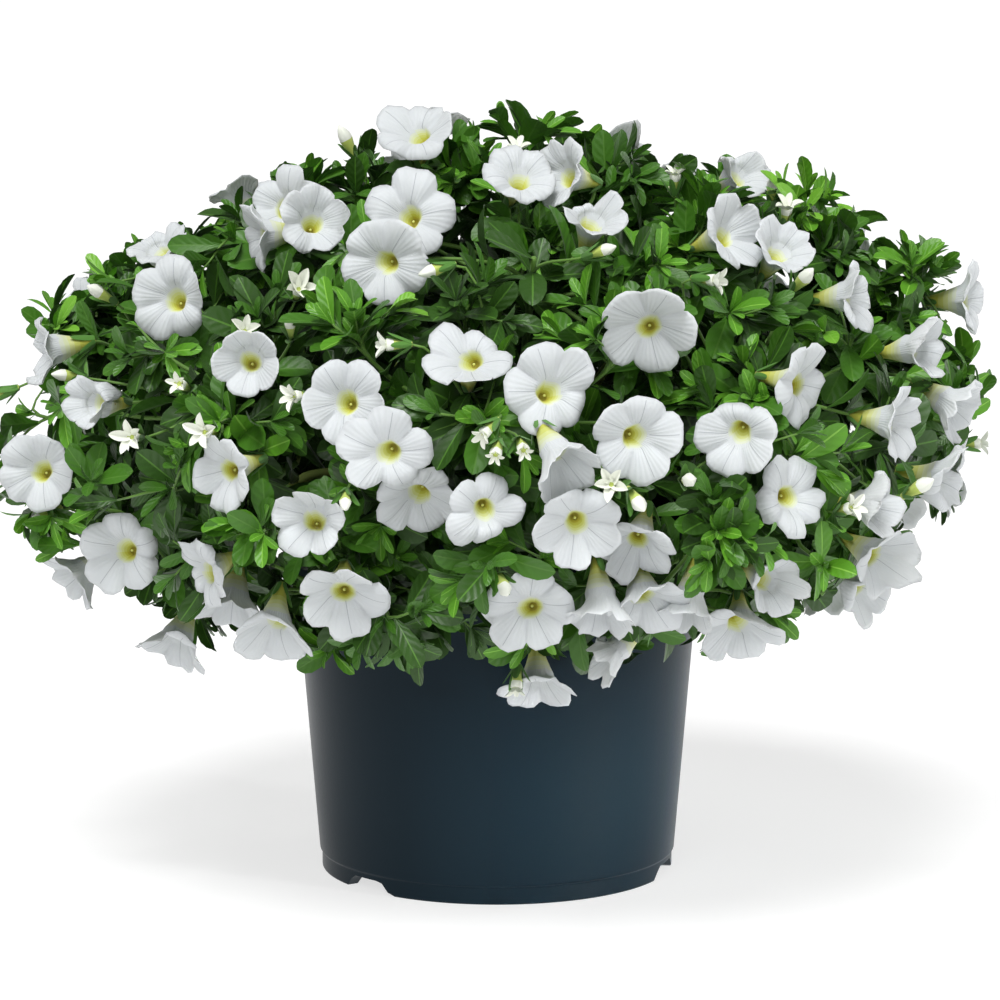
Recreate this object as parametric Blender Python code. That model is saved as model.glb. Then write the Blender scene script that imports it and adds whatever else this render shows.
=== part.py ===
# Potted trailing petunia: a nursery pot filled with potting mix, a short stem, the boughs that
# rise from it and arch over the rim, and a mass of leafy, flowering twigs at the end of each bough.
# Metres, +Z up. The origin is on the ground under the middle of the pot, and -Y is the front.

import math

import bmesh
import bpy
import numpy as np
from mathutils.bvhtree import BVHTree

SEED = 31
GAP = 0.0003  # between pieces that meet face to face

# Pot: a thin tapered wall with a lip, on a foot ring that three drain notches cut into feet
POT_HEIGHT = 0.148
POT_TOP_RADIUS = 0.0843
POT_LINE_RADIUS = 0.0727
POT_WALL = 0.0015
POT_SIDES = 36
LIP_RADIUS = 0.0865
LIP_DEPTH = 0.009
LINE_HEIGHT = 0.0078
FOOT_RADIUS = 0.0718
FOOT_WIDTH = 0.0055
FOOT_RECESS = 0.0056
FLOOR_TOP = 0.0082
NOTCH_COUNT = 3
NOTCH_FIRST_DEG = -137.0
NOTCH_HALF_DEG = (10.5, 6.5)  # at the ground, and at its top
NOTCH_HEIGHT = 0.0052

# Potting mix
MIX_TOP = 0.136
MIX_HEAP = 0.0022
MIX_FLAT_RADIUS = 0.016

# Stem
STEM_FLARE_RADIUS = 0.0115
STEM_RADIUS = 0.0078
STEM_FLARE_HEIGHT = 0.006
STEM_HEIGHT = 0.0275
STEM_SIDES = 20

# Crown: a dome round the pot's mouth, with shoulders that slope more than an ellipse's
CROWN_CENTRE_Z = 0.190
CROWN_REACH_X = 0.207
CROWN_REACH_Y = 0.200
CROWN_RISE = 0.123
CROWN_DROP = 0.120
CROWN_POWER = (1.6, 2.0)  # above and below its centre, where 2 is an ellipse
CROWN_LIMIT = 1.04  # leaves grow no further than this many times the dome
BLOOM_LIMIT = 1.12
# Where the crown's outline, seen from the front, falls short of the dome or passes it: the middle of
# the stretch in degrees from the right-hand end, its width, and the change
OUTLINE_CHANGES = (
    (130, 16, -0.10), (108, 8, -0.05), (84, 5, -0.05), (174, 9, -0.13), (-6, 13, -0.13), (-30, 9, -0.11),
    (-56, 14, -0.15), (-139, 10, -0.12), (53, 8, 0.07), (30, 9, 0.08), (72, 8, 0.02),
)
OUTLINE_DEPTH = 0.10  # how far from the middle towards the front and back the changes fade out
CROWN_FLOOR_Z = 0.070
POT_CLEARANCE = 0.003

# Boughs and masses: tier name, how many, azimuth of the first, height on the stem, and the start
# and end (radius and height) of the stem inside each mass
TIERS = (
    ("top", 1, 0.0, None, (0.000, 0.222), (0.008, 0.284)),
    ("upper", 5, -78.0, 0.0238, (0.050, 0.212), (0.106, 0.262)),
    ("middle", 8, -90.0, 0.0178, (0.074, 0.186), (0.160, 0.208)),
    ("skirt", 8, -112.5, 0.0118, (0.089, 0.162), (0.140, 0.122)),
)
BOUGH_RADIUS = (0.0026, 0.0018)
BOUGH_LEAD = 0.022  # how far its first and last stretches steer it
BOUGH_TAIL = 0.025
BOUGH_SIDES = 5
BOUGH_POINTS = 5
MASS_STEM_RADIUS = (0.0018, 0.0011)
BORDER_OVERLAP = 0.050  # how much further than its neighbour's middle a mass's tips may be from its own

# Shoots: each ends in a whorl of leaves, long and short by turns, or in a bloom. A layer of whorls
# says how many places it has, at what level of the dome, and from and to what height of it.
TUFT_LAYERS = (
    (28, 0.92, (-0.30, -0.86)),
    (100, 1.0, (1.0, -0.86)),
    (46, 0.86, (1.0, -0.86)),
    (16, 0.62, (1.0, -0.50)),
)
TUFT_TRIES = 6
TUFT_NUDGE = 0.007  # from its place, on every try after the first
TUFT_DEPTH = (0.35, 0.70)  # of a leaf's length, from its level of the dome
TUFT_SCATTER = 0.20
TUFT_LIFT = 0.25
SHOOT_RADIUS = (0.0011, 0.0007)
SHOOT_JITTER = 0.004
SHOOT_FORWARD = 0.30  # of its length, that a shoot follows its stem
WHORL_LEAVES = 6
WHORL_LENGTHS = (1.0, 0.72)
WHORL_RISES_DEG = (14.0, 44.0)
WHORL_SIZES = ((1.0, 0.0), (0.84, 12.0), (0.66, 24.0))  # tried in turn, with degrees more of rise
WHORL_THICKNESS = 0.0026
WHORL_NOTCH = 0.0042  # how far out neighbouring leaves part
LEAF_LENGTH = 0.045
LEAF_WIDTH = 0.0190
LEAF_WIDEST = 0.60  # along its length
LEAF_CUP = 0.07
LEAF_VARIATION = (0.88, 1.08)
GOLDEN_DEG = 137.508

TIP_DEPTH = 0.62  # of a leaf's length, for the tips seen against the sky

# Blooms
BLOOM_RADIUS = 0.0182
BLOOM_LOBES = 5
BLOOM_NOTCH = 0.92
BLOOM_RIM_RISE = 0.0022
BLOOM_WELL = 0.0050
BLOOM_TUBE_RADIUS = 0.0048
BLOOM_FOOT_RADIUS = 0.0024
BLOOM_TUBE_TOP = 0.0070
BLOOM_LENGTH = 0.0180
BLOOM_STALK = 0.0130
BLOOM_SCATTER = 0.28
BLOOM_LEVEL = 0.94
BLOOM_DEPTHS = (0.0, 0.010, 0.020, -0.008, 0.030, 0.042)  # tried in turn along the line of sight
HIDDEN_BLOOM_COUNT = 84
HIDDEN_BLOOM_HEIGHTS = (1.0, -0.86)
HIDDEN_SIDE_Y = 0.015  # blooms behind this follow the rule, those in front follow the photograph

# The viewpoint of the photograph, worked out from the pot's outline and its foot ellipse
VIEW_HEIGHT = 0.467
VIEW_DISTANCE = 1.90
VIEW_PITCH_DEG = 9.44
VIEW_FOCAL_PIXELS = 4737.0
VIEW_CENTRE_PIXEL = (497.0, 500.0)

# Each bloom that the photograph shows: its throat's pixel, then how far its face turns to the
# right and lifts, in degrees
BLOOMS_SEEN = (
    # along the top
    (417, 134, -8, 55), (408, 216, 5, 24), (384, 263, -6, 4), (285, 206, -28, 22),
    (262, 236, -70, -6), (313, 221, 22, 18), (520, 178, 20, 40), (566, 175, -48, 14),
    (738, 176, 40, 32), (726, 234, 52, 22), (592, 222, 15, 45), (160, 250, -30, 58),
    # left side
    (177, 300, -26, 8), (50, 350, -72, -10), (252, 360, -10, 4), (40, 470, -8, -2),
    (124, 550, -10, -8), (228, 470, -46, -8), (205, 572, -48, -16), (96, 404, -40, 5),
    (80, 575, -62, -34), (176, 640, -36, -52), (274, 626, -12, -50), (232, 600, -20, -62),
    # middle
    (345, 401, 2, 9), (469, 360, 2, 44), (551, 391, 8, 7), (386, 454, 3, -3),
    (417, 497, 6, -32), (485, 512, 18, 8), (648, 326, 2, -20), (637, 437, 2, -5),
    (739, 435, -16, 2), (577, 524, 2, -18), (314, 519, -19, 3), (556, 458, 18, -56),
    # right side
    (783, 250, 30, 44), (850, 296, 66, 8), (968, 300, 68, 4), (800, 384, 60, -6),
    (893, 422, 62, -4), (950, 404, 56, -26), (915, 348, 50, 12), (942, 478, 74, -8),
    (790, 498, 40, 14), (868, 505, 48, 4), (876, 556, 52, -22), (862, 588, 60, -30),
    # hanging over the pot
    (342, 592, -2, -26), (529, 608, 2, -20), (638, 541, -18, -40), (600, 596, 4, -64),
    (648, 602, 16, -58), (628, 648, -46, -44), (739, 622, 2, -46), (700, 604, 12, -60),
    (762, 580, 20, -30), (538, 682, 6, -60),
)

# Tips of leafy shoots that stand out against the sky, as pixels
TIPS_SEEN = (
    (818, 168), (855, 208), (850, 240), (945, 240), (985, 266), (600, 114), (628, 124), (655, 150),
    (705, 148), (760, 174), (370, 136), (505, 112), (470, 122), (62, 292), (90, 274), (240, 218),
    (872, 244), (992, 350),
)

BARK_GREEN = (0.16, 0.22, 0.07)
LEAF_GREEN = (0.07, 0.20, 0.03)
PETAL_WHITE = (0.80, 0.81, 0.84)
MIX_BROWN = (0.045, 0.030, 0.020)
POT_SLATE = (0.030, 0.040, 0.050)


# Vectors and paths


def unit(v):
    v = np.asarray(v, float)
    return v / max(np.linalg.norm(v), 1e-12)


def sideways(direction):
    """A unit vector square to a direction, level unless the direction is upright."""
    flat = np.cross(direction, (0.0, 0.0, 1.0))
    return unit(flat) if np.linalg.norm(flat) > 1e-3 else np.array((1.0, 0.0, 0.0))


def round_axis(vector, axis, degrees):
    """The vector turned about a unit axis."""
    angle = math.radians(degrees)
    along = axis * (vector @ axis)
    return along + (vector - along) * math.cos(angle) + np.cross(axis, vector) * math.sin(angle)


def bezier(start, lead, tail, end, count):
    """Points along a cubic that leaves start by lead and arrives at end by tail."""
    t = np.linspace(0.0, 1.0, count)[:, None]
    a, b, c, d = start, start + lead, end - tail, end
    return a * (1 - t) ** 3 + 3 * b * t * (1 - t) ** 2 + 3 * c * t**2 * (1 - t) + d * t**3


def at(azimuth_deg, radius, height):
    angle = math.radians(azimuth_deg)
    return np.array((radius * math.cos(angle), radius * math.sin(angle), height))


# The crown's space


def crown_level(points):
    """0 at the crown's centre and 1 on its surface."""
    p = np.atleast_2d(points) - (0.0, 0.0, CROWN_CENTRE_Z)
    above = p[:, 2] > 0
    out = np.hypot(p[:, 0] / CROWN_REACH_X, p[:, 1] / CROWN_REACH_Y)
    up = np.abs(p[:, 2]) / np.where(above, CROWN_RISE, CROWN_DROP)
    power = np.where(above, *CROWN_POWER)
    return (out**power + up**power) ** (1 / power)


def outline_change(points):
    """What the outline's changes add to the crown's limit, near the plane that the outline lies in."""
    p = points - (0.0, 0.0, CROWN_CENTRE_Z)
    up = p[:, 2] / np.where(p[:, 2] > 0, CROWN_RISE, CROWN_DROP)
    angle = np.degrees(np.arctan2(up, p[:, 0] / CROWN_REACH_X))
    change = np.zeros(len(points))
    for middle, width, amount in OUTLINE_CHANGES:
        off = (angle - middle + 180.0) % 360.0 - 180.0
        change += amount * np.exp(-((off / width) ** 2))
    return change * np.exp(-((p[:, 1] / OUTLINE_DEPTH) ** 4))


def crown_point(way, level):
    """The point at a level of the crown on a line from its centre, in the crown's own stretch."""
    depth = CROWN_RISE if way[2] > 0 else CROWN_DROP
    arm = np.array((way[0] * CROWN_REACH_X, way[1] * CROWN_REACH_Y, way[2] * depth))
    centre = np.array((0.0, 0.0, CROWN_CENTRE_Z))
    return centre + arm * level / crown_level(centre + arm)[0]


def crown_outward(point):
    """The direction square to the crown's surface, as the slope of its level."""
    step = 0.0005
    return unit([crown_level(point + s)[0] - crown_level(point - s)[0] for s in np.eye(3) * step])


def lattice(count, heights, seed):
    """Even directions over the crown from one height of it to another, each nudged a little."""
    rng = np.random.default_rng(seed)
    height = heights[0] + (heights[1] - heights[0]) * (np.arange(count) + 0.5) / count
    turn = np.radians(GOLDEN_DEG) * np.arange(count)
    level = np.sqrt(1.0 - height**2)
    ways = np.stack((level * np.cos(turn), level * np.sin(turn), height), axis=1)
    ways += rng.normal(0.0, 0.05, ways.shape)
    return [unit(way) for way in ways]


def sight_through(across, down):
    """The viewpoint, and the line of sight from it through a pixel."""
    pitch = math.radians(VIEW_PITCH_DEG)
    eye = np.array((0.0, -VIEW_DISTANCE, VIEW_HEIGHT))
    forward = np.array((0.0, math.cos(pitch), -math.sin(pitch)))
    up = np.array((0.0, math.sin(pitch), math.cos(pitch)))
    right = np.array((1.0, 0.0, 0.0))
    ray = forward + right * (across - VIEW_CENTRE_PIXEL[0]) / VIEW_FOCAL_PIXELS
    return eye, ray - up * (down - VIEW_CENTRE_PIXEL[1]) / VIEW_FOCAL_PIXELS


def point_seen_at(across, down):
    """Where the line of sight through a pixel meets the blooms' level, or passes nearest, and its way."""
    eye, ray = sight_through(across, down)
    reach = np.linspace(VIEW_DISTANCE - 0.25, VIEW_DISTANCE + 0.10, 400)[:, None]
    points = eye + ray * reach
    level = crown_level(points)
    inside = np.flatnonzero(level <= BLOOM_LEVEL)
    return points[inside[0] if len(inside) else level.argmin()], unit(ray)


def facing(turn_deg, lift_deg):
    """The direction that a face looks in, from its turn to the right and its lift."""
    turn, lift = math.radians(turn_deg), math.radians(lift_deg)
    return np.array((math.sin(turn) * math.cos(lift), -math.cos(turn) * math.cos(lift), math.sin(lift)))


# Closed shapes, as points and faces


def tube(path, radii, sides, first_way=None, last_way=None):
    """A tapering limb whose flat ends are square to the ways that are given, or else to the path."""
    path = np.asarray(path, float)
    tangents = np.gradient(path, axis=0)
    tangents[0] = tangents[0] if first_way is None else first_way
    tangents[-1] = tangents[-1] if last_way is None else last_way
    side = sideways(unit(tangents[0]))
    points = []
    for centre, tangent, radius in zip(path, tangents, radii):
        tangent = unit(tangent)
        side = unit(side - tangent * (side @ tangent))
        other = np.cross(tangent, side)
        for k in range(sides):
            angle = math.tau * k / sides
            points.append(centre + radius * (side * math.cos(angle) + other * math.sin(angle)))
    faces = [tuple(range(sides))[::-1]]
    for ring in range(len(path) - 1):
        low, high = ring * sides, (ring + 1) * sides
        for k in range(sides):
            n = (k + 1) % sides
            faces.append((low + k, low + n, high + n, high + k))
    last = (len(path) - 1) * sides
    faces.append(tuple(range(last, last + sides)))
    return np.array(points), faces


def bridge(low, high):
    """Triangles between two rings that start at the same angle and may differ in their count."""
    faces, i, j = [], 0, 0
    while i < len(low) or j < len(high):
        foot, head = low[i % len(low)], high[j % len(high)]
        if j == len(high) or (i < len(low) and (i + 1) * len(high) <= (j + 1) * len(low)):
            i += 1
            faces.append((foot, low[i % len(low)], head))
        else:
            j += 1
            faces.append((foot, high[j % len(high)], head))
    return faces


def whorl(base, axis, spin_deg, rises_deg, lengths):
    """Leaves round a shoot: a flat middle under them, and each a blade that is widest past its middle."""
    first = round_axis(sideways(axis), axis, spin_deg)
    start = base - axis * WHORL_NOTCH / 2
    points = [base + axis * WHORL_THICKNESS]
    step = 360.0 / len(lengths)
    for k, (rise_deg, length) in enumerate(zip(rises_deg, lengths)):
        out = round_axis(first, axis, k * step)
        side = np.cross(axis, out)
        rise = math.radians(rise_deg)
        way = out * math.cos(rise) + axis * math.sin(rise)
        up = axis * math.cos(rise) - out * math.sin(rise)
        widest = start + way * length * LEAF_WIDEST + up * length * LEAF_CUP
        half = side * LEAF_WIDTH * length / LEAF_LENGTH / 2
        points.append(base + WHORL_NOTCH * round_axis(out, axis, -step / 2))
        points += [widest - half, start + way * length, widest + half]
    rim = list(range(1, len(points)))
    faces = [(0, here, after) for here, after in zip(rim, rim[1:] + rim[:1])]
    for k in range(0, len(rim), 4):
        notch, near, tip, far, after = (rim + rim[:1])[k : k + 5]
        faces += [(tip, near, notch), (after, far, tip), (notch, after, tip)]
    faces.append(tuple(rim[::4][::-1]))
    return np.array(points), faces


def bloom(throat, axis, spin_deg):
    """A trumpet: a lobed face with a shallow well, and a three-sided tube that narrows to its foot."""
    first = round_axis(sideways(axis), axis, spin_deg)
    second = np.cross(axis, first)
    points = [throat - axis * BLOOM_WELL]
    rings = []
    lobed = [1.0, BLOOM_NOTCH] * BLOOM_LOBES
    for shares, radius, height in (
        (lobed, BLOOM_RADIUS, BLOOM_RIM_RISE),
        ([1.0] * 3, BLOOM_TUBE_RADIUS, -BLOOM_TUBE_TOP),
        ([1.0] * 3, BLOOM_FOOT_RADIUS, -BLOOM_LENGTH),
    ):
        rings.append(list(range(len(points), len(points) + len(shares))))
        for k, share in enumerate(shares):
            angle = math.tau * k / len(shares)
            out = first * math.cos(angle) + second * math.sin(angle)
            points.append(throat + axis * height + out * radius * share)
    rim, neck, foot = rings
    faces = [(0, here, after) for here, after in zip(rim, rim[1:] + rim[:1])]
    faces += bridge(neck, rim) + bridge(foot, neck) + [tuple(foot[::-1])]
    return np.array(points), faces


def turned(profile, sides):
    """A solid of revolution from (radius, height) points that start and end on the axis."""
    angles = math.tau * np.arange(sides) / sides
    points, rings = [], []
    for radius, height in profile:
        if radius == 0.0:
            rings.append([len(points)] * sides)
            points.append((0.0, 0.0, height))
            continue
        rings.append(list(range(len(points), len(points) + sides)))
        points += [(radius * math.cos(a), radius * math.sin(a), height) for a in angles]
    faces = []
    for low, high in zip(rings, rings[1:]):
        for k in range(sides):
            n = (k + 1) % sides
            corners = (low[k], low[n], high[n], high[k])
            faces.append(tuple(dict.fromkeys(corners)))
    return np.array(points), faces


def facing_out(points, faces):
    """The same faces, all turned round if the shape is inside out."""
    volume = 0.0
    for face in faces:
        for b, c in zip(face[1:-1], face[2:]):
            volume += points[face[0]] @ np.cross(points[b], points[c])
    return faces if volume > 0 else [face[::-1] for face in faces]


def swollen(points, faces, by):
    """The points moved outwards along their own normals."""
    normals = np.zeros_like(points)
    for face in faces:
        a, b, c = points[list(face[:3])]
        normal = np.cross(b - a, c - a)
        for corner in face:
            normals[corner] += normal
    return points + by * normals / np.maximum(np.linalg.norm(normals, axis=1), 1e-15)[:, None]


# Objects and materials


def finish(name, colour, roughness):
    material = bpy.data.materials.new(name)
    material.use_nodes = True
    shader = material.node_tree.nodes["Principled BSDF"]
    shader.inputs["Base Color"].default_value = (*colour, 1.0)
    shader.inputs["Roughness"].default_value = roughness
    material.diffuse_color = (*colour, 1.0)
    return material


def add_object(name, shape, material, collection=None):
    points, faces = shape
    mesh = bpy.data.meshes.new(name)
    mesh.from_pydata([tuple(p) for p in points], [], facing_out(points, faces))
    mesh.materials.append(material)
    mesh.validate()
    obj = bpy.data.objects.new(name, mesh)
    (collection or bpy.context.scene.collection).objects.link(obj)
    return obj


def shade_round(obj, sharp_deg=35.0):
    obj.data.shade_smooth()
    obj.data.set_sharp_from_angle(angle=math.radians(sharp_deg))


def keep_largest_shell(mesh):
    """Drops loose scraps, and the walls of any hollow that the joining sealed, which fills it."""
    shape = bmesh.new()
    shape.from_mesh(mesh)
    shape.verts.ensure_lookup_table()
    left, shells = set(shape.verts), []
    while left:
        shell, front = set(), [left.pop()]
        while front:
            vert = front.pop()
            shell.add(vert)
            linked = {edge.other_vert(vert) for edge in vert.link_edges} & left
            left -= linked
            front += linked
        shells.append(shell)
    largest = max(shells, key=len)
    bmesh.ops.delete(shape, geom=[v for v in shape.verts if v not in largest], context="VERTS")
    shape.to_mesh(mesh)
    shape.free()


def join_into_one(name, shapes, materials):
    """One solid from a stem and the twigs, leaves and blooms that root in it."""
    pieces = bpy.data.collections.new(name + "_pieces")
    bpy.context.scene.collection.children.link(pieces)
    stem, *rest = shapes
    body = add_object(name, stem[1], materials[stem[0]])
    for k, (kind, shape) in enumerate(rest):
        add_object(f"{name}_piece_{k}", shape, materials[kind], pieces)
    union = body.modifiers.new("Fused", "BOOLEAN")
    union.operation = "UNION"
    union.operand_type = "COLLECTION"
    union.collection = pieces
    union.solver = "MANIFOLD"
    union.material_mode = "TRANSFER"
    bpy.context.view_layer.update()
    fused = bpy.data.meshes.new_from_object(body.evaluated_get(bpy.context.evaluated_depsgraph_get()))
    body.modifiers.clear()
    body.data = fused
    for piece in list(pieces.objects):
        bpy.data.objects.remove(piece)
    bpy.data.collections.remove(pieces)
    keep_largest_shell(fused)
    return body


# The pot and what fills it


def wall_radius(height):
    """The outside of the pot's wall at a height above the moulded line."""
    share = (height - LINE_HEIGHT) / (POT_HEIGHT - LINE_HEIGHT)
    return POT_LINE_RADIUS + share * (POT_TOP_RADIUS - POT_LINE_RADIUS)


def notch_cutter(azimuth_deg):
    """A wedge wider at the ground than at its top, so that the feet end in slopes."""
    near, far = FOOT_RADIUS - 2 * FOOT_WIDTH, FOOT_RADIUS + FOOT_WIDTH
    levels = ((-NOTCH_HEIGHT / 4, NOTCH_HALF_DEG[0]), (NOTCH_HEIGHT, NOTCH_HALF_DEG[1]))
    points = []
    for height, half in levels:
        for radius, side in ((near, -1), (far, -1), (far, 0), (far, 1), (near, 1)):
            points.append(at(azimuth_deg + side * half, radius, height))
    faces = [(4, 3, 2, 1, 0), (5, 6, 7, 8, 9)]
    for k in range(5):
        n = (k + 1) % 5
        faces.append((k, n, 5 + n, 5 + k))
    cutter = add_object("notch_cutter", (np.array(points), faces), bpy.data.materials["pot plastic"])
    cutter.hide_render = True
    cutter.display_type = "WIRE"
    return cutter


def build_pot():
    lip_low = POT_HEIGHT - LIP_DEPTH
    bead = 0.0008
    profile = [
        (0.0, FOOT_RECESS),
        (FOOT_RADIUS - FOOT_WIDTH, FOOT_RECESS),
        (FOOT_RADIUS - FOOT_WIDTH, 0.0),
        (FOOT_RADIUS - bead, 0.0),
        (FOOT_RADIUS, bead),
        (FOOT_RADIUS, LINE_HEIGHT - bead),
        (POT_LINE_RADIUS, LINE_HEIGHT),
        (wall_radius(lip_low), lip_low),
        (LIP_RADIUS - bead, lip_low),
        (LIP_RADIUS, lip_low + bead),
        (LIP_RADIUS, POT_HEIGHT - bead),
        (LIP_RADIUS - bead, POT_HEIGHT),
        (wall_radius(POT_HEIGHT) - POT_WALL, POT_HEIGHT),
        (wall_radius(FLOOR_TOP) - POT_WALL, FLOOR_TOP),
        (0.0, FLOOR_TOP),
    ]
    pot = add_object("pot", turned(profile, POT_SIDES), finish("pot plastic", POT_SLATE, 0.42))
    for k in range(NOTCH_COUNT):
        cut = pot.modifiers.new("Drain notch", "BOOLEAN")
        cut.operation = "DIFFERENCE"
        cut.solver = "EXACT"
        cut.object = notch_cutter(NOTCH_FIRST_DEG + 360.0 / NOTCH_COUNT * k)
    shade_round(pot)


def build_potting_mix():
    low, high = FLOOR_TOP + GAP, MIX_TOP - MIX_HEAP
    profile = [
        (0.0, low),
        (wall_radius(low) - POT_WALL - GAP * 1.5, low),
        (wall_radius(high) - POT_WALL - GAP * 1.5, high),
        (MIX_FLAT_RADIUS, MIX_TOP),
        (0.0, MIX_TOP),
    ]
    add_object("potting_mix", turned(profile, POT_SIDES), finish("potting mix", MIX_BROWN, 0.95))


def build_stem():
    foot = MIX_TOP + GAP
    profile = [
        (0.0, foot),
        (STEM_FLARE_RADIUS, foot),
        (STEM_RADIUS * 1.08, foot + STEM_FLARE_HEIGHT),
        (STEM_RADIUS, foot + STEM_FLARE_HEIGHT * 1.5),
        (STEM_RADIUS, foot + STEM_HEIGHT),
        (0.0, foot + STEM_HEIGHT),
    ]
    shade_round(add_object("stem", turned(profile, STEM_SIDES), bpy.data.materials["green bark"]))


# The plant's plan: where each bough, shoot and bloom goes


def plan_masses():
    """Each mass's name, its bough's path and the path of the stem inside it."""
    masses = []
    for tier, count, first_deg, on_stem, start, end in TIERS:
        for k in range(count):
            azimuth = first_deg + 360.0 / count * k
            rng = np.random.default_rng((SEED, count, k))
            near, far = at(azimuth, *start), at(azimuth + rng.uniform(-5, 5), *end)
            way = unit(far - near)
            length = np.linalg.norm(far - near)
            foot = MIX_TOP + GAP
            if on_stem is None:
                root = np.array((0.0, 0.0, foot + STEM_HEIGHT + GAP))
                lead = np.array((0.0, 0.0, BOUGH_LEAD))
            else:
                root = at(azimuth, STEM_RADIUS + GAP, foot + on_stem)
                lead = at(azimuth, BOUGH_LEAD, 0.0)
            masses.append({
                "name": tier if count == 1 else f"{tier}_{k + 1}",
                "lead": lead,
                "way": way,
                "bough": bezier(root, lead, way * BOUGH_TAIL, near, BOUGH_POINTS),
                "stem": bezier(near + way * GAP, way * length / 3, way * length / 3, far, 5),
                "middle": (near + far * 2) / 3,
            })
    return masses


def nearest_mass(masses, point):
    return int(np.argmin([np.linalg.norm(mass["middle"] - point) for mass in masses]))


def shoot_path(stem, target, arrival, rng, count):
    """A twig that leaves the stem forwards and arrives at its target in the given direction."""
    along = stem[-1] - stem[0]
    share = (target - stem[0]) @ along / (along @ along) - SHOOT_FORWARD + rng.uniform(-0.08, 0.08)
    place = float(np.clip(share, 0.10, 0.96)) * (len(stem) - 1)
    low = min(int(place), len(stem) - 2)
    root = stem[low] + (stem[low + 1] - stem[low]) * (place - low)
    length = np.linalg.norm(target - root)
    lead = unit(along) * length * SHOOT_FORWARD + rng.normal(0.0, SHOOT_JITTER, 3)
    return bezier(root, lead, arrival * length * SHOOT_FORWARD, target, count)


def plan_blooms():
    """Each bloom's throat, the way it faces and the line it may move along: those seen, then the rest."""
    blooms = []
    for across, down, turn, lift in BLOOMS_SEEN:
        point, sight = point_seen_at(across, down)
        blooms.append((point, facing(turn, lift), sight))
    rng = np.random.default_rng((SEED, 2))
    for way in lattice(HIDDEN_BLOOM_COUNT, HIDDEN_BLOOM_HEIGHTS, (SEED, 3)):
        point = crown_point(way, BLOOM_LEVEL)
        face = unit(crown_outward(point) + rng.normal(0.0, BLOOM_SCATTER, 3))
        if point[1] > HIDDEN_SIDE_Y:
            blooms.append((point, face, -face))
    return blooms


def plan_tufts():
    """Each leafy shoot's end and the way it points, which is outwards and a little up."""
    rng = np.random.default_rng((SEED, 4))
    tufts = []
    for count, level, heights in TUFT_LAYERS:
        for way in lattice(count, heights, (SEED, count)):
            tip = crown_point(way, level)
            outward = unit(crown_outward(tip) + (0.0, 0.0, TUFT_LIFT) + rng.normal(0.0, TUFT_SCATTER, 3))
            tufts.append((tip - outward * LEAF_LENGTH * rng.uniform(*TUFT_DEPTH), outward))
    return tufts


def plan_tips():
    """The same for the tips seen against the sky, which lie in the upright plane through the middle."""
    tips = []
    for across, down in TIPS_SEEN:
        eye, ray = sight_through(across, down)
        tip = eye - ray * eye[1] / ray[1]
        outward = unit(crown_outward(tip) * (1.0, 0.3, 1.0) + (0.0, 0.0, TUFT_LIFT))
        tips.append((tip - outward * LEAF_LENGTH * TIP_DEPTH, outward))
    return tips


# Growing the masses


class Space:
    """What has grown so far, and whether a new twig, whorl or bloom may join it."""

    def __init__(self, masses):
        self.middles = np.array([mass["middle"] for mass in masses])
        self.grown = []

    def in_bounds(self, owner, kind, points):
        radius = np.hypot(points[:, 0], points[:, 1])
        in_pot = (radius < LIP_RADIUS + POT_CLEARANCE) & (points[:, 2] < POT_HEIGHT + POT_CLEARANCE)
        limit = BLOOM_LIMIT if kind == "bloom" else CROWN_LIMIT + outline_change(points)
        if in_pot.any() or points[:, 2].min() < CROWN_FLOOR_Z or (crown_level(points) > limit).any():
            return False
        apart = np.linalg.norm(points[:, None] - self.middles, axis=2)
        return bool((apart[:, owner] - apart.min(axis=1) < BORDER_OVERLAP).all())

    def fits(self, owner, kind, shape):
        """In its mass's space, and clear of all else but, for a twig, its mass's other twigs."""
        points, faces = shape[0], facing_out(*shape)
        test = swollen(points, faces, 2 * GAP)
        if not self.in_bounds(owner, kind, test):
            return False
        low, high = test.min(axis=0), test.max(axis=0)
        tree = BVHTree.FromPolygons([tuple(p) for p in test], faces)
        for other, other_kind, other_low, other_high, other_tree in self.grown:
            if other == owner and kind == other_kind == "twig":
                continue
            if (other_low > high).any() or (other_high < low).any():
                continue
            if tree.overlap(other_tree):
                return False
        return True

    def add(self, owner, kind, shape):
        points, faces = shape
        tree = BVHTree.FromPolygons([tuple(p) for p in points], faces)
        self.grown.append((owner, kind, points.min(axis=0), points.max(axis=0), tree))


def twig_along(path):
    return tube(path, np.linspace(*SHOOT_RADIUS, len(path)), 3)


def twig_fits(space, k, path):
    """A twig may meet its mass's others only near its root."""
    outer = np.array([path[0] + (path[1] - path[0]) * 0.4, *path[1:]])
    return space.fits(k, "twig", twig_along(path)) and space.fits(k, "outer twig", twig_along(outer))


def grow_bloom(space, masses, throat, axis, rng):
    """A bloom on its shoot, if both fit."""
    k = nearest_mass(masses, throat)
    path = shoot_path(masses[k]["stem"], throat - axis * BLOOM_STALK, axis, rng, 3)
    flower = bloom(throat, axis, rng.uniform(0.0, 72.0))
    if not (space.fits(k, "bloom", flower) and twig_fits(space, k, path)):
        return None
    twig = twig_along(path)
    space.add(k, "twig", twig)
    space.add(k, "bloom", flower)
    return k, [("twig", twig), ("bloom", flower)]


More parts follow.
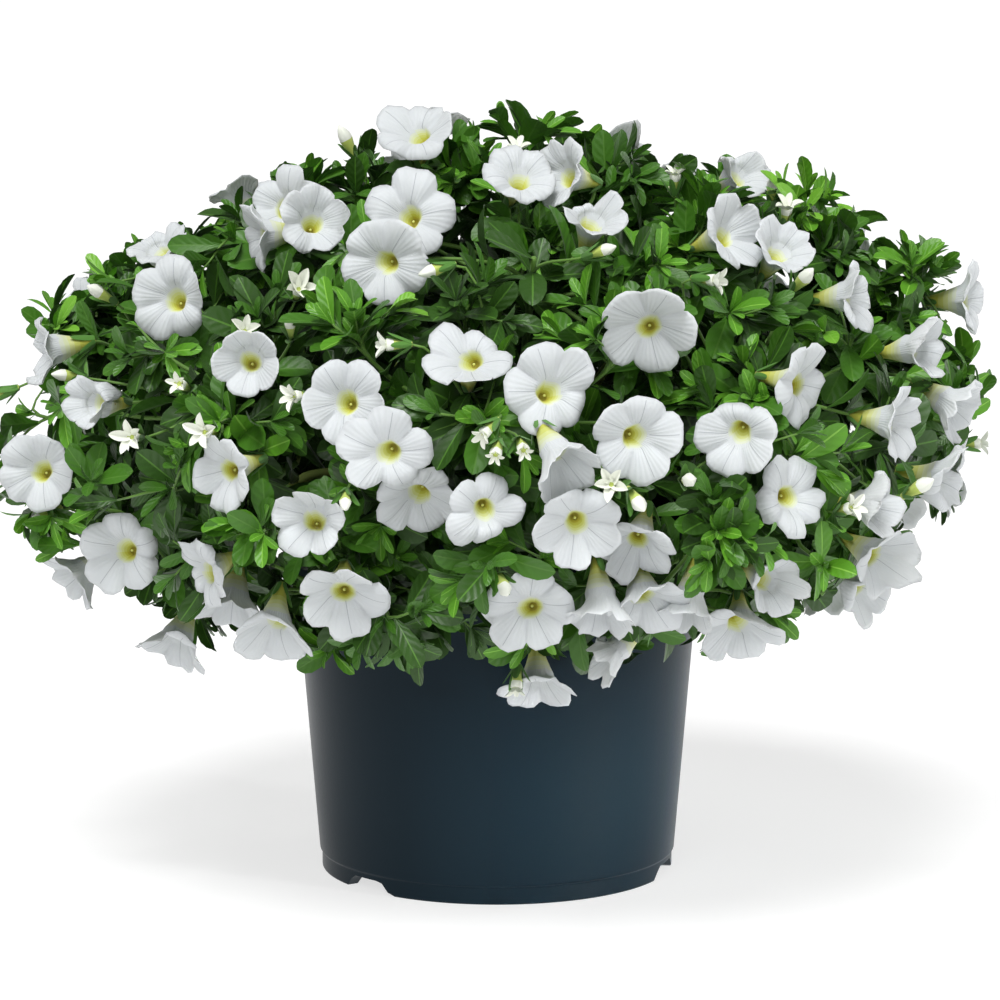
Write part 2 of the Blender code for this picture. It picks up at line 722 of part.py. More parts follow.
def grow_tuft(space, masses, end, axis, rng):
    """A shoot that ends in a whorl of leaves, smaller and more closed where the first doesn't fit."""
    for attempt in range(TUFT_TRIES):
        base = end + rng.normal(0.0, TUFT_NUDGE, 3) * (attempt > 0)
        k = nearest_mass(masses, base)
        path = shoot_path(masses[k]["stem"], base + axis * WHORL_THICKNESS * 0.45, axis, rng, 2)
        spin = rng.uniform(0.0, 360.0)
        rises = np.resize(WHORL_RISES_DEG, WHORL_LEAVES) + rng.uniform(-9.0, 9.0, WHORL_LEAVES)
        lengths = LEAF_LENGTH * np.resize(WHORL_LENGTHS, WHORL_LEAVES)
        lengths *= rng.uniform(*LEAF_VARIATION, WHORL_LEAVES)
        if not twig_fits(space, k, path):
            continue
        for size, closing in WHORL_SIZES:
            leaves = whorl(base, axis, spin, rises + closing, lengths * size)
            if space.fits(k, "leaf", leaves):
                twig = twig_along(path)
                space.add(k, "twig", twig)
                space.add(k, "leaf", leaves)
                return k, [("twig", twig), ("leaf", leaves)]
    return None


def build_plant():
    materials = {
        "twig": finish("green bark", BARK_GREEN, 0.7),
        "leaf": finish("leaf", LEAF_GREEN, 0.5),
        "bloom": finish("petal", PETAL_WHITE, 0.6),
    }
    masses = plan_masses()
    space = Space(masses)
    shapes = {k: [] for k in range(len(masses))}
    for k, mass in enumerate(masses):
        radii = np.linspace(*BOUGH_RADIUS, BOUGH_POINTS)
        bough = tube(mass["bough"], radii, BOUGH_SIDES, mass["lead"], mass["way"])
        shade_round(add_object("bough_" + mass["name"], bough, materials["twig"]), 60.0)
        space.add(-1, "limb", bough)
        radii = np.linspace(*MASS_STEM_RADIUS, len(mass["stem"]))
        stem = tube(mass["stem"], radii, BOUGH_SIDES, mass["way"])
        space.add(k, "twig", stem)
        shapes[k].append(("twig", stem))

    for n, (throat, axis, line) in enumerate(plan_blooms()):
        for depth in BLOOM_DEPTHS:
            rng = np.random.default_rng((SEED, 6, n))
            grown = grow_bloom(space, masses, throat + line * depth, axis, rng)
            if grown:
                shapes[grown[0]] += grown[1]
                break
    for key, planned in ((8, plan_tips()), (7, plan_tufts())):
        for n, (end, axis) in enumerate(planned):
            grown = grow_tuft(space, masses, end, axis, np.random.default_rng((SEED, key, n)))
            if grown:
                shapes[grown[0]] += grown[1]
    for k, mass in enumerate(masses):
        join_into_one("mass_" + mass["name"], shapes[k], materials)


def main():
    for obj in list(bpy.data.objects):
        bpy.data.objects.remove(obj)
    build_pot()
    build_potting_mix()
    build_plant()
    build_stem()


main()
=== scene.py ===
# Potted trailing petunia, its looks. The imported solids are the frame. The crown's shoots are grown
# again by the rule that made the solids, then carried on to real twigs, leaves, buds and blooms.
# Metres, Z up, the pot's middle at the origin and the front towards -Y.

import math

import bpy
import numpy as np
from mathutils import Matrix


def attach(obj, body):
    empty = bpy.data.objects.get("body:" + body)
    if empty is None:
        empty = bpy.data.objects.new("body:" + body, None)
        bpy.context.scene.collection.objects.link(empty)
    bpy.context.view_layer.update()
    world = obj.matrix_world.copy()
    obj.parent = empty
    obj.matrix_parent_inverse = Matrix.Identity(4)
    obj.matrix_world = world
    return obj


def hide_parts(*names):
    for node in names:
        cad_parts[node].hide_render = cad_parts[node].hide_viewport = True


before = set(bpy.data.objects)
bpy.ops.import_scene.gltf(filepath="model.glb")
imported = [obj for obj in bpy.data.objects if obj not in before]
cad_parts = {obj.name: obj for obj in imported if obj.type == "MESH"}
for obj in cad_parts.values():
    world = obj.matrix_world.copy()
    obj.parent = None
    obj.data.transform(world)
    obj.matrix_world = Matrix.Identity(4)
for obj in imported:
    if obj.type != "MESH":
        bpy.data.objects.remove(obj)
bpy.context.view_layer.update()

# Where the crown lies, and the plan that the solids were grown by, number for number
seed = 31
crown = {
    "centreZ": 0.190, "reachX": 0.207, "reachY": 0.200, "rise": 0.123, "drop": 0.120,
    "power": (1.6, 2.0),  # above and below its centre, where 2 is an ellipse
    "leafLimit": 1.05,  # in levels of the dome
    # where the outline seen from the front falls short of the dome or passes it: the middle of the
    # stretch in degrees from the right-hand end, its width, and the change
    "outline": (
        (130, 16, -0.10), (108, 8, -0.05), (84, 5, -0.05), (174, 9, -0.13), (-6, 13, -0.13),
        (-30, 9, -0.11), (-56, 14, -0.15), (-139, 10, -0.12), (53, 8, 0.07), (30, 9, 0.08),
        (72, 8, 0.02),
    ),
    "outlineDepth": 0.10,
    "floorZ": 0.066,
    "potGap": 0.002,
    # tier, masses, azimuth of the first, height on the stem, inner and outer (radius, height)
    "tiers": (
        ("top", 1, 0.0, None, (0.000, 0.222), (0.008, 0.284)),
        ("upper", 5, -78.0, 0.0238, (0.050, 0.212), (0.106, 0.262)),
        ("middle", 8, -90.0, 0.0178, (0.074, 0.186), (0.160, 0.208)),
        ("skirt", 8, -112.5, 0.0118, (0.089, 0.162), (0.140, 0.122)),
    ),
}
plan = {
    "gap": 0.0003, "boughLead": 0.022, "boughTail": 0.025,
    "tuftLayers": (
        (28, 0.92, (-0.30, -0.86)), (100, 1.0, (1.0, -0.86)),
        (46, 0.86, (1.0, -0.86)), (16, 0.62, (1.0, -0.50)),
    ),
    "tuftTries": 6, "tuftNudge": 0.007, "tuftDepth": (0.35, 0.70), "tuftScatter": 0.20,
    "tuftLift": 0.25, "tipDepth": 0.62, "tipAcross": 0.3, "cornerGap": 1e-4,
    "shootJitter": 0.004, "shootForward": 0.30, "shootStray": 0.08, "shootFrom": (0.10, 0.96),
    "goldenDeg": 137.508,
    "whorlLeaves": 6, "whorlLengths": (1.0, 0.72), "whorlRises": (14.0, 44.0),
    "whorlSizes": ((1.0, 0.0), (0.84, 12.0), (0.66, 24.0)),
    "whorlTop": 0.0026, "whorlNotch": 0.0042, "whorlSunk": 0.45, "whorlStray": 9.0,
    "leafLength": 0.045, "leafVariation": (0.88, 1.08),
    "bloomWell": 0.0050, "bloomStalk": 0.0130, "bloomScatter": 0.28, "bloomLevel": 0.94,
    "bloomDepths": (0.0, 0.010, 0.020, -0.008, 0.030, 0.042),
    "hiddenBlooms": 84, "hiddenHeights": (1.0, -0.86), "hiddenY": 0.015,
    "hiddenSizes": (0.78, 1.02),
}
pot = {
    "height": 0.148, "topRadius": 0.0843, "lineRadius": 0.0727, "wall": 0.0015,
    "lipRadius": 0.0865, "lipDepth": 0.009, "lineHeight": 0.0078,
    "footRadius": 0.0718, "footWidth": 0.0055, "recess": 0.0056, "floorTop": 0.0082,
    "notches": 3, "firstNotch": -137.0, "notchHalf": (6.5, 10.5), "notchHeight": 0.0052,
    "sides": 144, "edge": 0.0008, "pole": 0.0005, "sharp": 40.0,
}
mix = {"top": 0.136, "heap": 0.0022, "rings": 46, "sides": 180, "lump": 0.0011, "chips": 520}
stem = {"flareRadius": 0.0115, "radius": 0.0078, "flareHeight": 0.006, "height": 0.0275}

# The photograph's viewpoint: eye, pitch down, and focal length, centre and width in pixels
view = {
    "height": 0.467, "distance": 1.90, "pitch": 9.44, "focal": 4737.0, "centre": (497.0, 500.0),
    "width": 1000.0,
}

# Blooms the photograph shows: the throat's pixel, the face's turn to the right, its lift, its size
bloomsSeen = (
    (417, 134, -8, 55, 0.93), (408, 216, 5, 24, 1.03), (384, 263, -6, 4, 0.96),
    (285, 206, -28, 22, 0.88), (262, 236, -70, -6, 0.80), (313, 221, 22, 18, 0.80),
    (520, 178, 20, 40, 0.85), (566, 175, -48, 14, 0.80), (738, 176, 40, 32, 0.75),
    (726, 234, 52, 22, 0.93), (592, 222, 15, 45, 0.72), (160, 250, -30, 58, 0.72),
    (174, 298, -14, 6, 0.95), (50, 350, -72, -10, 0.78), (250, 360, -10, 4, 0.73),
    (40, 470, -8, -2, 0.90), (124, 550, -10, -8, 0.94), (228, 470, -46, -8, 0.85),
    (205, 572, -48, -16, 0.82), (96, 404, -40, 5, 0.60), (80, 575, -62, -34, 0.85),
    (176, 640, -36, -52, 0.85), (274, 626, -12, -50, 0.90), (232, 600, -20, -62, 0.88),
    (345, 401, 2, 9, 0.95), (469, 360, 2, 44, 0.98), (551, 391, 8, 7, 1.01),
    (386, 454, 3, -3, 1.00), (417, 497, 6, -32, 0.95), (485, 512, 18, 8, 0.85),
    (648, 326, 2, -20, 1.04), (637, 437, 2, -5, 0.97), (739, 435, -16, 2, 0.90),
    (577, 524, 2, -18, 0.97), (314, 519, -19, 3, 0.82), (558, 455, 34, -38, 0.75),
    (779, 252, 26, 40, 0.72), (850, 296, 66, 8, 0.78), (968, 300, 68, 4, 0.88),
    (800, 384, 60, -6, 0.93), (893, 422, 62, -4, 0.85), (950, 404, 56, -26, 0.75),
    (915, 348, 50, 12, 0.70), (942, 478, 74, -8, 0.84), (790, 498, 40, 14, 0.94),
    (868, 505, 48, 4, 0.72), (876, 556, 52, -22, 0.85), (862, 588, 60, -30, 0.80),
    (342, 592, -2, -26, 0.95), (529, 608, 2, -20, 0.98), (638, 541, -18, -40, 0.84),
    (601, 600, 10, -58, 0.72), (644, 598, 14, -46, 0.90), (614, 652, -60, -32, 0.56),
    (740, 626, 0, -36, 0.93), (690, 598, -20, -66, 0.62), (768, 582, 34, -14, 0.70),
    (538, 682, 6, -60, 0.85),
)

# Buds it shows, in the same way, and the size of the star where the bud is opening
budsSeen = (
    (292, 396, -50, 10, 0.8), (384, 345, -78, 0, 0.7), (482, 436, -40, -30, 0.6),
    (495, 457, -10, -30, 0.5), (524, 452, 10, -20, 0.5), (290, 322, 0, 40, 0),
    (675, 172, 0, 70, 0.6), (787, 206, 10, 60, 0.8), (608, 249, 60, 20, 0),
    (716, 280, 60, 0, 0.8), (807, 275, 40, 40, 0), (611, 484, -10, 20, 1.0),
    (853, 507, 40, 20, 0.8), (925, 484, 50, 30, 0), (773, 183, 0, 70, 0),
    (203, 432, -30, 10, 1.0), (131, 437, -20, 10, 1.0), (517, 147, 0, 60, 0.7),
    (245, 330, 10, 30, 0.8), (35, 522, -50, -20, 0), (95, 290, -50, 30, 0),
    (60, 375, -60, 10, 0), (299, 288, 10, 30, 1.1), (640, 505, 20, -20, 0),
    (178, 383, -20, 20, 0.6), (428, 272, -62, -12, 0), (690, 480, 10, 10, 0),
    (345, 505, 0, -20, 0), (505, 590, 10, -20, 0), (516, 690, -10, -60, 0.6),
)

# Tips of leafy shoots that stand out against its sky
tipsSeen = (
    (818, 168), (855, 208), (850, 240), (945, 240), (985, 266), (600, 114), (628, 124), (655, 150),
    (705, 148), (760, 174), (370, 136), (505, 112), (470, 122), (62, 292), (90, 274), (240, 218),
    (872, 244), (992, 350),
)

eye = np.array((0.0, -view["distance"], view["height"]))
upright, east = np.array([[0.0, 0.0, 1.0]]), np.array([[1.0, 0.0, 0.0]])


def draws(*key):
    # random numbers of one use, which the key tells apart
    return np.random.default_rng((seed, *key))


# Vectors and paths, on arrays whose last axis is x, y, z

def unit(v):
    # each vector over its own length
    return v / np.maximum(np.linalg.norm(v, axis=-1, keepdims=True), 1e-12)


def sideways(ways):
    # the way crossed with upright, which is level, or X where the way itself is upright
    flat = np.cross(ways, (0.0, 0.0, 1.0))
    size = np.linalg.norm(flat, axis=-1, keepdims=True)
    return np.where(size > 1e-3, flat / np.maximum(size, 1e-12), (1.0, 0.0, 0.0))


def squareTo(vectors, axes):
    # each vector without its part along the axis
    return vectors - axes * (vectors * axes).sum(-1, keepdims=True)


def turnAbout(vectors, axes, degrees):
    # the part along the axis stays, and the part square to it turns by cosine and sine
    angle = np.radians(degrees)[..., None] if np.ndim(degrees) else math.radians(degrees)
    along = axes * (vectors * axes).sum(-1, keepdims=True)
    return along + (vectors - along) * np.cos(angle) + np.cross(axes, vectors) * np.sin(angle)


def spunSides(group, extra=0.0):
    # each axis's sideways vector turned about it by its own spin
    return turnAbout(sideways(group["axis"]), group["axis"], group["spin"] + extra)


def roundAngles(sides):
    return math.tau * np.arange(sides) / sides


def bezier(start, lead, tail, end, count):
    # a cubic that leaves start by lead and arrives at end by tail
    t = np.linspace(0.0, 1.0, count)[:, None]
    a, b, c, d = (p[..., None, :] for p in (start, start + lead, end - tail, end))
    return a * (1 - t) ** 3 + 3 * b * t * (1 - t) ** 2 + 3 * c * t**2 * (1 - t) + d * t**3


def at(azimuth, radius, height):
    angle = math.radians(azimuth)
    return np.array((radius * math.cos(angle), radius * math.sin(angle), height))


def crownLevel(points):
    # 0 at the crown's centre and 1 on the dome, whose power differs above and below
    p = points - (0.0, 0.0, crown["centreZ"])
    above = p[..., 2] > 0
    out = np.hypot(p[..., 0] / crown["reachX"], p[..., 1] / crown["reachY"])
    up = np.abs(p[..., 2]) / np.where(above, crown["rise"], crown["drop"])
    power = np.where(above, *crown["power"])
    return (out**power + up**power) ** (1 / power)


def outlineChange(points):
    # bumps and dips round the outline's angle, which fade towards the front and the back
    p = points - (0.0, 0.0, crown["centreZ"])
    up = p[..., 2] / np.where(p[..., 2] > 0, crown["rise"], crown["drop"])
    angle = np.degrees(np.arctan2(up, p[..., 0] / crown["reachX"]))
    change = 0.0
    for middle, width, amount in crown["outline"]:
        off = (angle - middle + 180.0) % 360.0 - 180.0
        change = change + amount * np.exp(-((off / width) ** 2))
    return change * np.exp(-((p[..., 1] / crown["outlineDepth"]) ** 4))


def crownPoint(way, level):
    # the point at a level, on a line from the centre in the dome's own stretch
    depth = crown["rise"] if way[2] > 0 else crown["drop"]
    arm = np.array((way[0] * crown["reachX"], way[1] * crown["reachY"], way[2] * depth))
    centre = np.array((0.0, 0.0, crown["centreZ"]))
    return centre + arm * level / crownLevel(centre + arm)


def crownOutward(points):
    # the slope of the level, by a small step each way along x, y and z
    steps = np.eye(3) * 0.0005
    return unit(np.stack([crownLevel(points + s) - crownLevel(points - s) for s in steps], axis=-1))


def evenWays(count, heights, key):
    # directions on a golden spiral from one height to another, each nudged a little
    rng = draws(key)
    height = heights[0] + (heights[1] - heights[0]) * (np.arange(count) + 0.5) / count
    turn = np.radians(plan["goldenDeg"]) * np.arange(count)
    level = np.sqrt(1.0 - height**2)
    ways = np.stack((level * np.cos(turn), level * np.sin(turn), height), axis=1)
    return unit(ways + rng.normal(0.0, 0.05, ways.shape))


def sightThrough(across, down):
    # the line of sight through a pixel, whose part along the view is 1
    pitch = math.radians(view["pitch"])
    forward = np.array((0.0, math.cos(pitch), -math.sin(pitch)))
    up = np.array((0.0, math.sin(pitch), math.cos(pitch)))
    ray = forward + np.array((1.0, 0.0, 0.0)) * (across - view["centre"][0]) / view["focal"]
    return ray - up * (down - view["centre"][1]) / view["focal"]


def seenAt(across, down, level):
    # where the line of sight through a pixel first meets a level of the dome, or passes nearest
    ray = sightThrough(across, down)
    points = eye + ray * np.linspace(view["distance"] - 0.25, view["distance"] + 0.10, 400)[:, None]
    levels = crownLevel(points)
    inside = np.flatnonzero(levels <= level)
    return points[inside[0] if len(inside) else levels.argmin()], unit(ray)


def facing(turn, lift):
    turn, lift = math.radians(turn), math.radians(lift)
    level = math.cos(lift)
    return np.array((math.sin(turn) * level, -math.cos(turn) * level, math.sin(lift)))


# Groups of like things, as one array for each key

def table(rows):
    return {key: np.array([row[key] for row in rows]) for key in rows[0]}


def chosen(group, keep):
    return {key: values[keep] for key, values in group.items()}


def together(groups):
    return {key: np.concatenate([group[key] for group in groups]) for key in groups[0]}


# Meshes from arrays

def gridFaces(rows, columns, closed):
    # quads between neighbouring rows, with the last column joined to the first where it is closed
    row = np.arange(rows - 1)[:, None] * columns
    here = np.arange(columns if closed else columns - 1)[None]
    after = (here + 1) % columns
    quads = (row + here, row + after, row + columns + after, row + columns + here)
    return np.stack(quads, axis=-1).reshape(-1, 4)


def capFaces(rows, columns):
    # one face over the first ring and one over the last
    first, last = np.arange(columns)[::-1], np.arange(columns) + (rows - 1) * columns
    return np.stack((first, last))


def intoScene(name, data):
    obj = bpy.data.objects.new(name, data)
    bpy.context.scene.collection.objects.link(obj)
    return obj


def joinedMesh(name, finishes, shapes, nodes=()):
    # Each shape is (points (copies, n, 3), sets of faces with their finishes, uv (n, 2) or None),
    # and copy c of it takes the faces' numbers plus c times n.
    points, polygons, slots, places = [], [], [], []
    start = 0
    for shape, faceSets, uv in shapes:
        copies, size = shape.shape[:2]
        points.append(shape.reshape(-1, 3))
        for faces, finish in faceSets:
            offsets = start + np.arange(copies)[:, None, None] * size
            polygons += (faces[None] + offsets).reshape(-1, faces.shape[1]).tolist()
            slots.append(np.broadcast_to(finish, (copies, len(faces))).ravel())
            flat = np.zeros((faces.size, 2)) if uv is None else uv[faces.ravel()]
            places.append(np.broadcast_to(flat, (copies, *flat.shape)).reshape(-1, 2))
        start += copies * size
    mesh = bpy.data.meshes.new(name)
    mesh.from_pydata(np.concatenate(points).tolist(), [], polygons)
    for finish in finishes:
        mesh.materials.append(finish)
    mesh.polygons.foreach_set("material_index", np.concatenate(slots).astype(np.int32))
    layer = mesh.uv_layers.new(name="surfaceMap")
    layer.data.foreach_set("uv", np.concatenate(places).astype(np.float32).ravel())
    mesh.shade_smooth()
    mesh.update()
    obj = intoScene(name, mesh)
    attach(obj, "root")
    if nodes:
        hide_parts(*nodes)
    print(f"  {name}: {sum(len(p) - 2 for p in polygons)} triangles")
    return obj


def closedTube(points, finish=0, ends=0, uv=None):
    # points by copy, ring and column as a shape that is closed round and at both ends
    copies, rings, sides = points.shape[:3]
    faces = [(gridFaces(rings, sides, True), finish), (capFaces(rings, sides), ends)]
    return points.reshape(copies, -1, 3), faces, uv


def tubes(paths, radii, sides, firstWays=None):
    # Rings square to each path. The side vector of a ring is the path's own first side vector with
    # its part along the ring's tangent taken off. radii go by path, ring and side.
    tangents = unit(np.gradient(paths, axis=1))
    if firstWays is not None:
        tangents[:, 0] = firstWays
    side = unit(squareTo(sideways(tangents[:, :1]), tangents))
    other = np.cross(tangents, side)
    angle = roundAngles(sides)
    out = side[:, :, None] * np.cos(angle)[:, None] + other[:, :, None] * np.sin(angle)[:, None]
    return closedTube(paths[:, :, None] + out * radii[..., None])


def turned(origins, axes, firsts, angles, radii, heights):
    # radius and height over each origin, by copy, ring and column, turned round each axis
    seconds = np.cross(axes, firsts)
    out = firsts[:, None, None] * np.cos(angles)[..., None]
    out = out + seconds[:, None, None] * np.sin(angles)[..., None]
    points = origins[:, None, None] + axes[:, None, None] * heights[..., None]
    return points + out * radii[..., None]


def smoothNoise(points, cell, key):
    # value noise: random numbers on a cubic lattice, blended by the smoothstep of each coordinate
    values = draws(50, key).uniform(-1.0, 1.0, (32, 32, 32))
    p = points / cell
    low = np.floor(p).astype(int)
    t = p - low
    t = t * t * (3 - 2 * t)
    total = 0.0
    for corner in np.ndindex(2, 2, 2):
        share = np.prod(np.where(corner, t, 1 - t), axis=-1)
        total = total + values[tuple(np.moveaxis((low + corner) % 32, -1, 0))] * share
    return total


# Materials

def linear(hexColour):
    # sRGB hex to linear: a straight part at the foot, above it a power of 2.4
    values = np.array([int(hexColour[i:i + 2], 16) for i in (1, 3, 5)]) / 255.0
    light = np.where(values <= 0.04045, values / 12.92, ((values + 0.055) / 1.055) ** 2.4)
    return (*light.tolist(), 1.0)


def linkInto(material, node, links):
    # each link is a socket of the node, and the node and output that feed it
    for socket, (source, output) in links.items():
        material.node_tree.links.new(source.outputs[output], node.inputs[socket])


def addNode(material, kind, settings, links):
    # adds one node; a setting names a socket or a property
    node = material.node_tree.nodes.new(kind)
    for key, value in settings.items():
        if key in node.inputs:
            node.inputs[key].default_value = value
        else:
            setattr(node, key, value)
    linkInto(material, node, links)
    return node


def newMaterial(name, colour, settings):
    # a shader with a plain colour and a value for each socket that the settings name
    material = bpy.data.materials.new(name)
    material.use_nodes = True
    shader = material.node_tree.nodes["Principled BSDF"]
    shader.inputs["Base Color"].default_value = linear(colour)
    for socket, value in settings.items():
        shader.inputs[socket].default_value = value
    material.diffuse_color = linear(colour)
    return material, shader


def grained(name, colour, settings, mm, bump, roughness, detail=3.0, ribs=0.0):
    # Noise at a real size gives a bump and moves the roughness between two values. Ribs are bands
    # across the piece's own map, laid over the grain, as side veins or folds.
    material, shader = newMaterial(name, colour, settings)
    where = addNode(material, "ShaderNodeTexCoord", {}, {})
    noise = addNode(material, "ShaderNodeTexNoise", {"Scale": 1000.0 / mm, "Detail": detail},
                    {"Vector": (where, "Object")})
    moved = addNode(material, "ShaderNodeMapRange",
                    {"To Min": roughness[0], "To Max": roughness[1]}, {"Value": (noise, "Fac")})
    relief = addNode(material, "ShaderNodeBump", {"Strength": bump, "Distance": 0.0004},
                     {"Height": (noise, "Fac")})
    if ribs:
        where = addNode(material, "ShaderNodeUVMap", {"uv_map": "surfaceMap"}, {})
        wave = addNode(material, "ShaderNodeTexWave",
                       {"Scale": 1.0, "Distortion": 1.2, "Detail": 1.0}, {"Vector": (where, "UV")})
        relief = addNode(material, "ShaderNodeBump", {"Strength": ribs, "Distance": 0.0003},
                         {"Height": (wave, "Fac"), "Normal": (relief, "Normal")})
    linkInto(material, shader, {"Roughness": (moved, "Result"), "Normal": (relief, "Normal")})
    return material


print("materials")

# Leaf blades, living and finely haired: soft highlights, with side veins that only show in relief.
# Four ages, dealt out by spray and shifted by height as painted shade low down and painted light
# high up, and the ribs that run up their middles.
leafLook = {"Specular IOR Level": 0.38, "Sheen Weight": 0.06, "Sheen Roughness": 0.45}
leafFinishes = [
    grained(name, colour, leafLook, 1.6, 0.25, (0.34, 0.50), ribs=0.35 * ("blade" in name))
    for name, colour in (
        ("leaf blade old", "#2b4e12"), ("leaf blade grown", "#3b6a16"),
        ("leaf blade fresh", "#528a1e"), ("leaf blade young", "#6fa832"),
        ("leaf rib grown", "#4b7727"), ("leaf rib young", "#7db242"),
    )
]

# Petals, thin and velvety: no gloss, light spreads a little inside. Grey for the vein up each
# lobe, and rings of cream, lime, gold and olive down the throat, and up the tube from its foot.
petalLook = {
    "Specular IOR Level": 0.25, "Sheen Weight": 0.12, "Sheen Roughness": 0.6,
    "Subsurface Weight": 0.35, "Subsurface Scale": 0.0025, "Subsurface Radius": (1.0, 1.0, 0.9),
}
petalFinishes = [
    grained(name, colour, petalLook, 1.1, 0.12, (0.55, 0.72), ribs=0.32 * (name == "petal white"))
    for name, colour in (
        ("petal white", "#c6cacc"), ("petal vein grey", "#9ca0a5"), ("petal cream", "#c9cebc"),
        ("petal cream lime", "#c9cfa8"), ("petal lime pale", "#c6cb8a"),
        ("petal lime light", "#c0c469"), ("petal lime", "#b9ba4a"), ("throat gold", "#b2aa3a"),
        ("throat olive", "#9b9334"), ("stigma pale green", "#c9cf72"),
    )
]

# Green stalks and sepals, haired, and buds with cream petals still folded
greenLook = {"Specular IOR Level": 0.35, "Sheen Weight": 0.15, "Sheen Roughness": 0.5}
greenFinishes = [
    grained(name, colour, greenLook, 0.9, 0.25, (0.50, 0.68))
    for name, colour in (
        ("stalk green", "#5d8434"), ("sepal green", "#4f8030"), ("bud cream", "#e5e8dc"),
        ("bud lime", "#b9c964"),
    )
]

# Bark at the foot of the plant, green going to straw brown, furrowed lengthways and dry
barkFinish = grained("bark green and straw", "#66783a", {"Specular IOR Level": 0.3}, 2.4, 0.5,
                     (0.70, 0.90), 6.0)
where = addNode(barkFinish, "ShaderNodeTexCoord", {}, {})
blotch = addNode(barkFinish, "ShaderNodeTexNoise", {"Scale": 1000.0 / 7.0, "Detail": 4.0},
                 {"Vector": (where, "Object")})
tone = addNode(barkFinish, "ShaderNodeValToRGB", {}, {"Fac": (blotch, "Fac")})
for element, colour in zip(tone.color_ramp.elements, ("#52702e", "#7f8446")):
    element.color = linear(colour)
linkInto(barkFinish, barkFinish.node_tree.nodes["Principled BSDF"], {"Base Color": (tone, "Color")})

# Pot, injection moulded polypropylene in slate: satin, with a very fine moulded grain
potFinish = grained("polypropylene moulded slate", "#12222b",
                    {"IOR": 1.49, "Specular IOR Level": 0.10}, 1.3, 0.05, (0.30, 0.38))

# Potting mix, peat and composted bark: dark, dry and crumbly
mixFinishes = [
    grained(name, colour, {"Specular IOR Level": 0.2}, 1.5, 0.8, (0.85, 1.0), 6.0)
    for name, colour in (("potting mix peat", "#2e241b"), ("potting mix bark chips", "#4b3826"),
                         ("potting mix pale chips", "#6f5a3e"))
]


print("pot")


def rounded(corners, radius, steps):
    # each corner becomes a quadratic arc between the points a radius before and after it, and a
    # further point a little way off keeps the flats flat
    corners = np.array(corners)
    here = corners[1:-1]
    ways = [corners[:-2] - here, corners[2:] - here]
    shorter = np.minimum(*(np.linalg.norm(way, axis=1) for way in ways))
    reach = np.minimum(radius, 0.4 * shorter)[:, None, None]
    toBefore, toAfter = (unit(way)[:, None] * reach for way in ways)
    here = here[:, None]
    t = np.linspace(0.0, 1.0, steps)[None, :, None]
    start, end = here + toBefore, here + toAfter
    arc = (1 - t) ** 2 * start + 2 * t * (1 - t) * here + t**2 * end
    arcs = np.concatenate((start + toBefore * 0.25, arc, end + toAfter * 0.25), axis=1)
    return np.concatenate((corners[:1], arcs.reshape(-1, 2), corners[-1:]))


def wallRadius(height):
    heights, radii = (pot["lineHeight"], pot["height"]), (pot["lineRadius"], pot["topRadius"])
    return np.interp(height, heights, radii)


def makePot():
    # a profile of radius and height turned round Z, where each notch lifts what lies below it
    lipLow, foot, lip = pot["height"] - pot["lipDepth"], pot["footRadius"], pot["lipRadius"]
    inner = foot - pot["footWidth"]
    profile = rounded((
        (pot["pole"], pot["recess"]), (inner, pot["recess"]), (inner, 0.0), (foot, 0.0),
        (foot, pot["lineHeight"] - pot["edge"]), (pot["lineRadius"], pot["lineHeight"]),
        (wallRadius(lipLow), lipLow), (lip, lipLow), (lip, pot["height"]),
        (wallRadius(pot["height"]) - pot["wall"], pot["height"]),
        (wallRadius(pot["floorTop"]) - pot["wall"], pot["floorTop"]),
        (pot["pole"], pot["floorTop"]),
    ), pot["edge"], 5)
    radii, heights = profile[:, :1], profile[:, 1:]
    angle = roundAngles(pot["sides"])
    third = 360.0 / pot["notches"]
    off = np.abs((np.degrees(angle) - pot["firstNotch"] + third / 2) % third - third / 2)
    lift = np.interp(off, pot["notchHalf"], (pot["notchHeight"], 0.0))
    low = (radii > inner - 0.003) & (heights < pot["notchHeight"])
    heights = np.where(low, np.maximum(heights, lift), heights)
    points = turned(np.zeros((1, 3)), upright, east, angle, radii[None], heights[None])
    obj = joinedMesh("pot_moulded", [potFinish], [closedTube(points)], ["pot"])
    obj.data.set_sharp_from_angle(angle=math.radians(pot["sharp"]))


makePot()


print("potting mix")

crumbs = {
    "gap": 0.00045, "flat": 0.016, "skirtTop": 0.120,  # off the wall, and where the heap is flat
    "lumps": ((0.0042, 0.6), (0.0019, 0.4)), "fade": 0.003,  # noise by size and share, and its edge
    "chipSink": 0.0008, "chipRing": (0.03, 0.97), "chipFlat": 0.35, "chipTints": (1, 1, 1, 2),
    "chipLength": (0.0012, 0.0034), "chipWidth": (0.0006, 0.0014), "chipUneven": (0.7, 1.2),
    "chipGirths": (0.5, 1.0, 0.9, 0.4), "chipSteps": (-1.0, -0.5, 0.4, 1.0), "chipSides": 5,
}


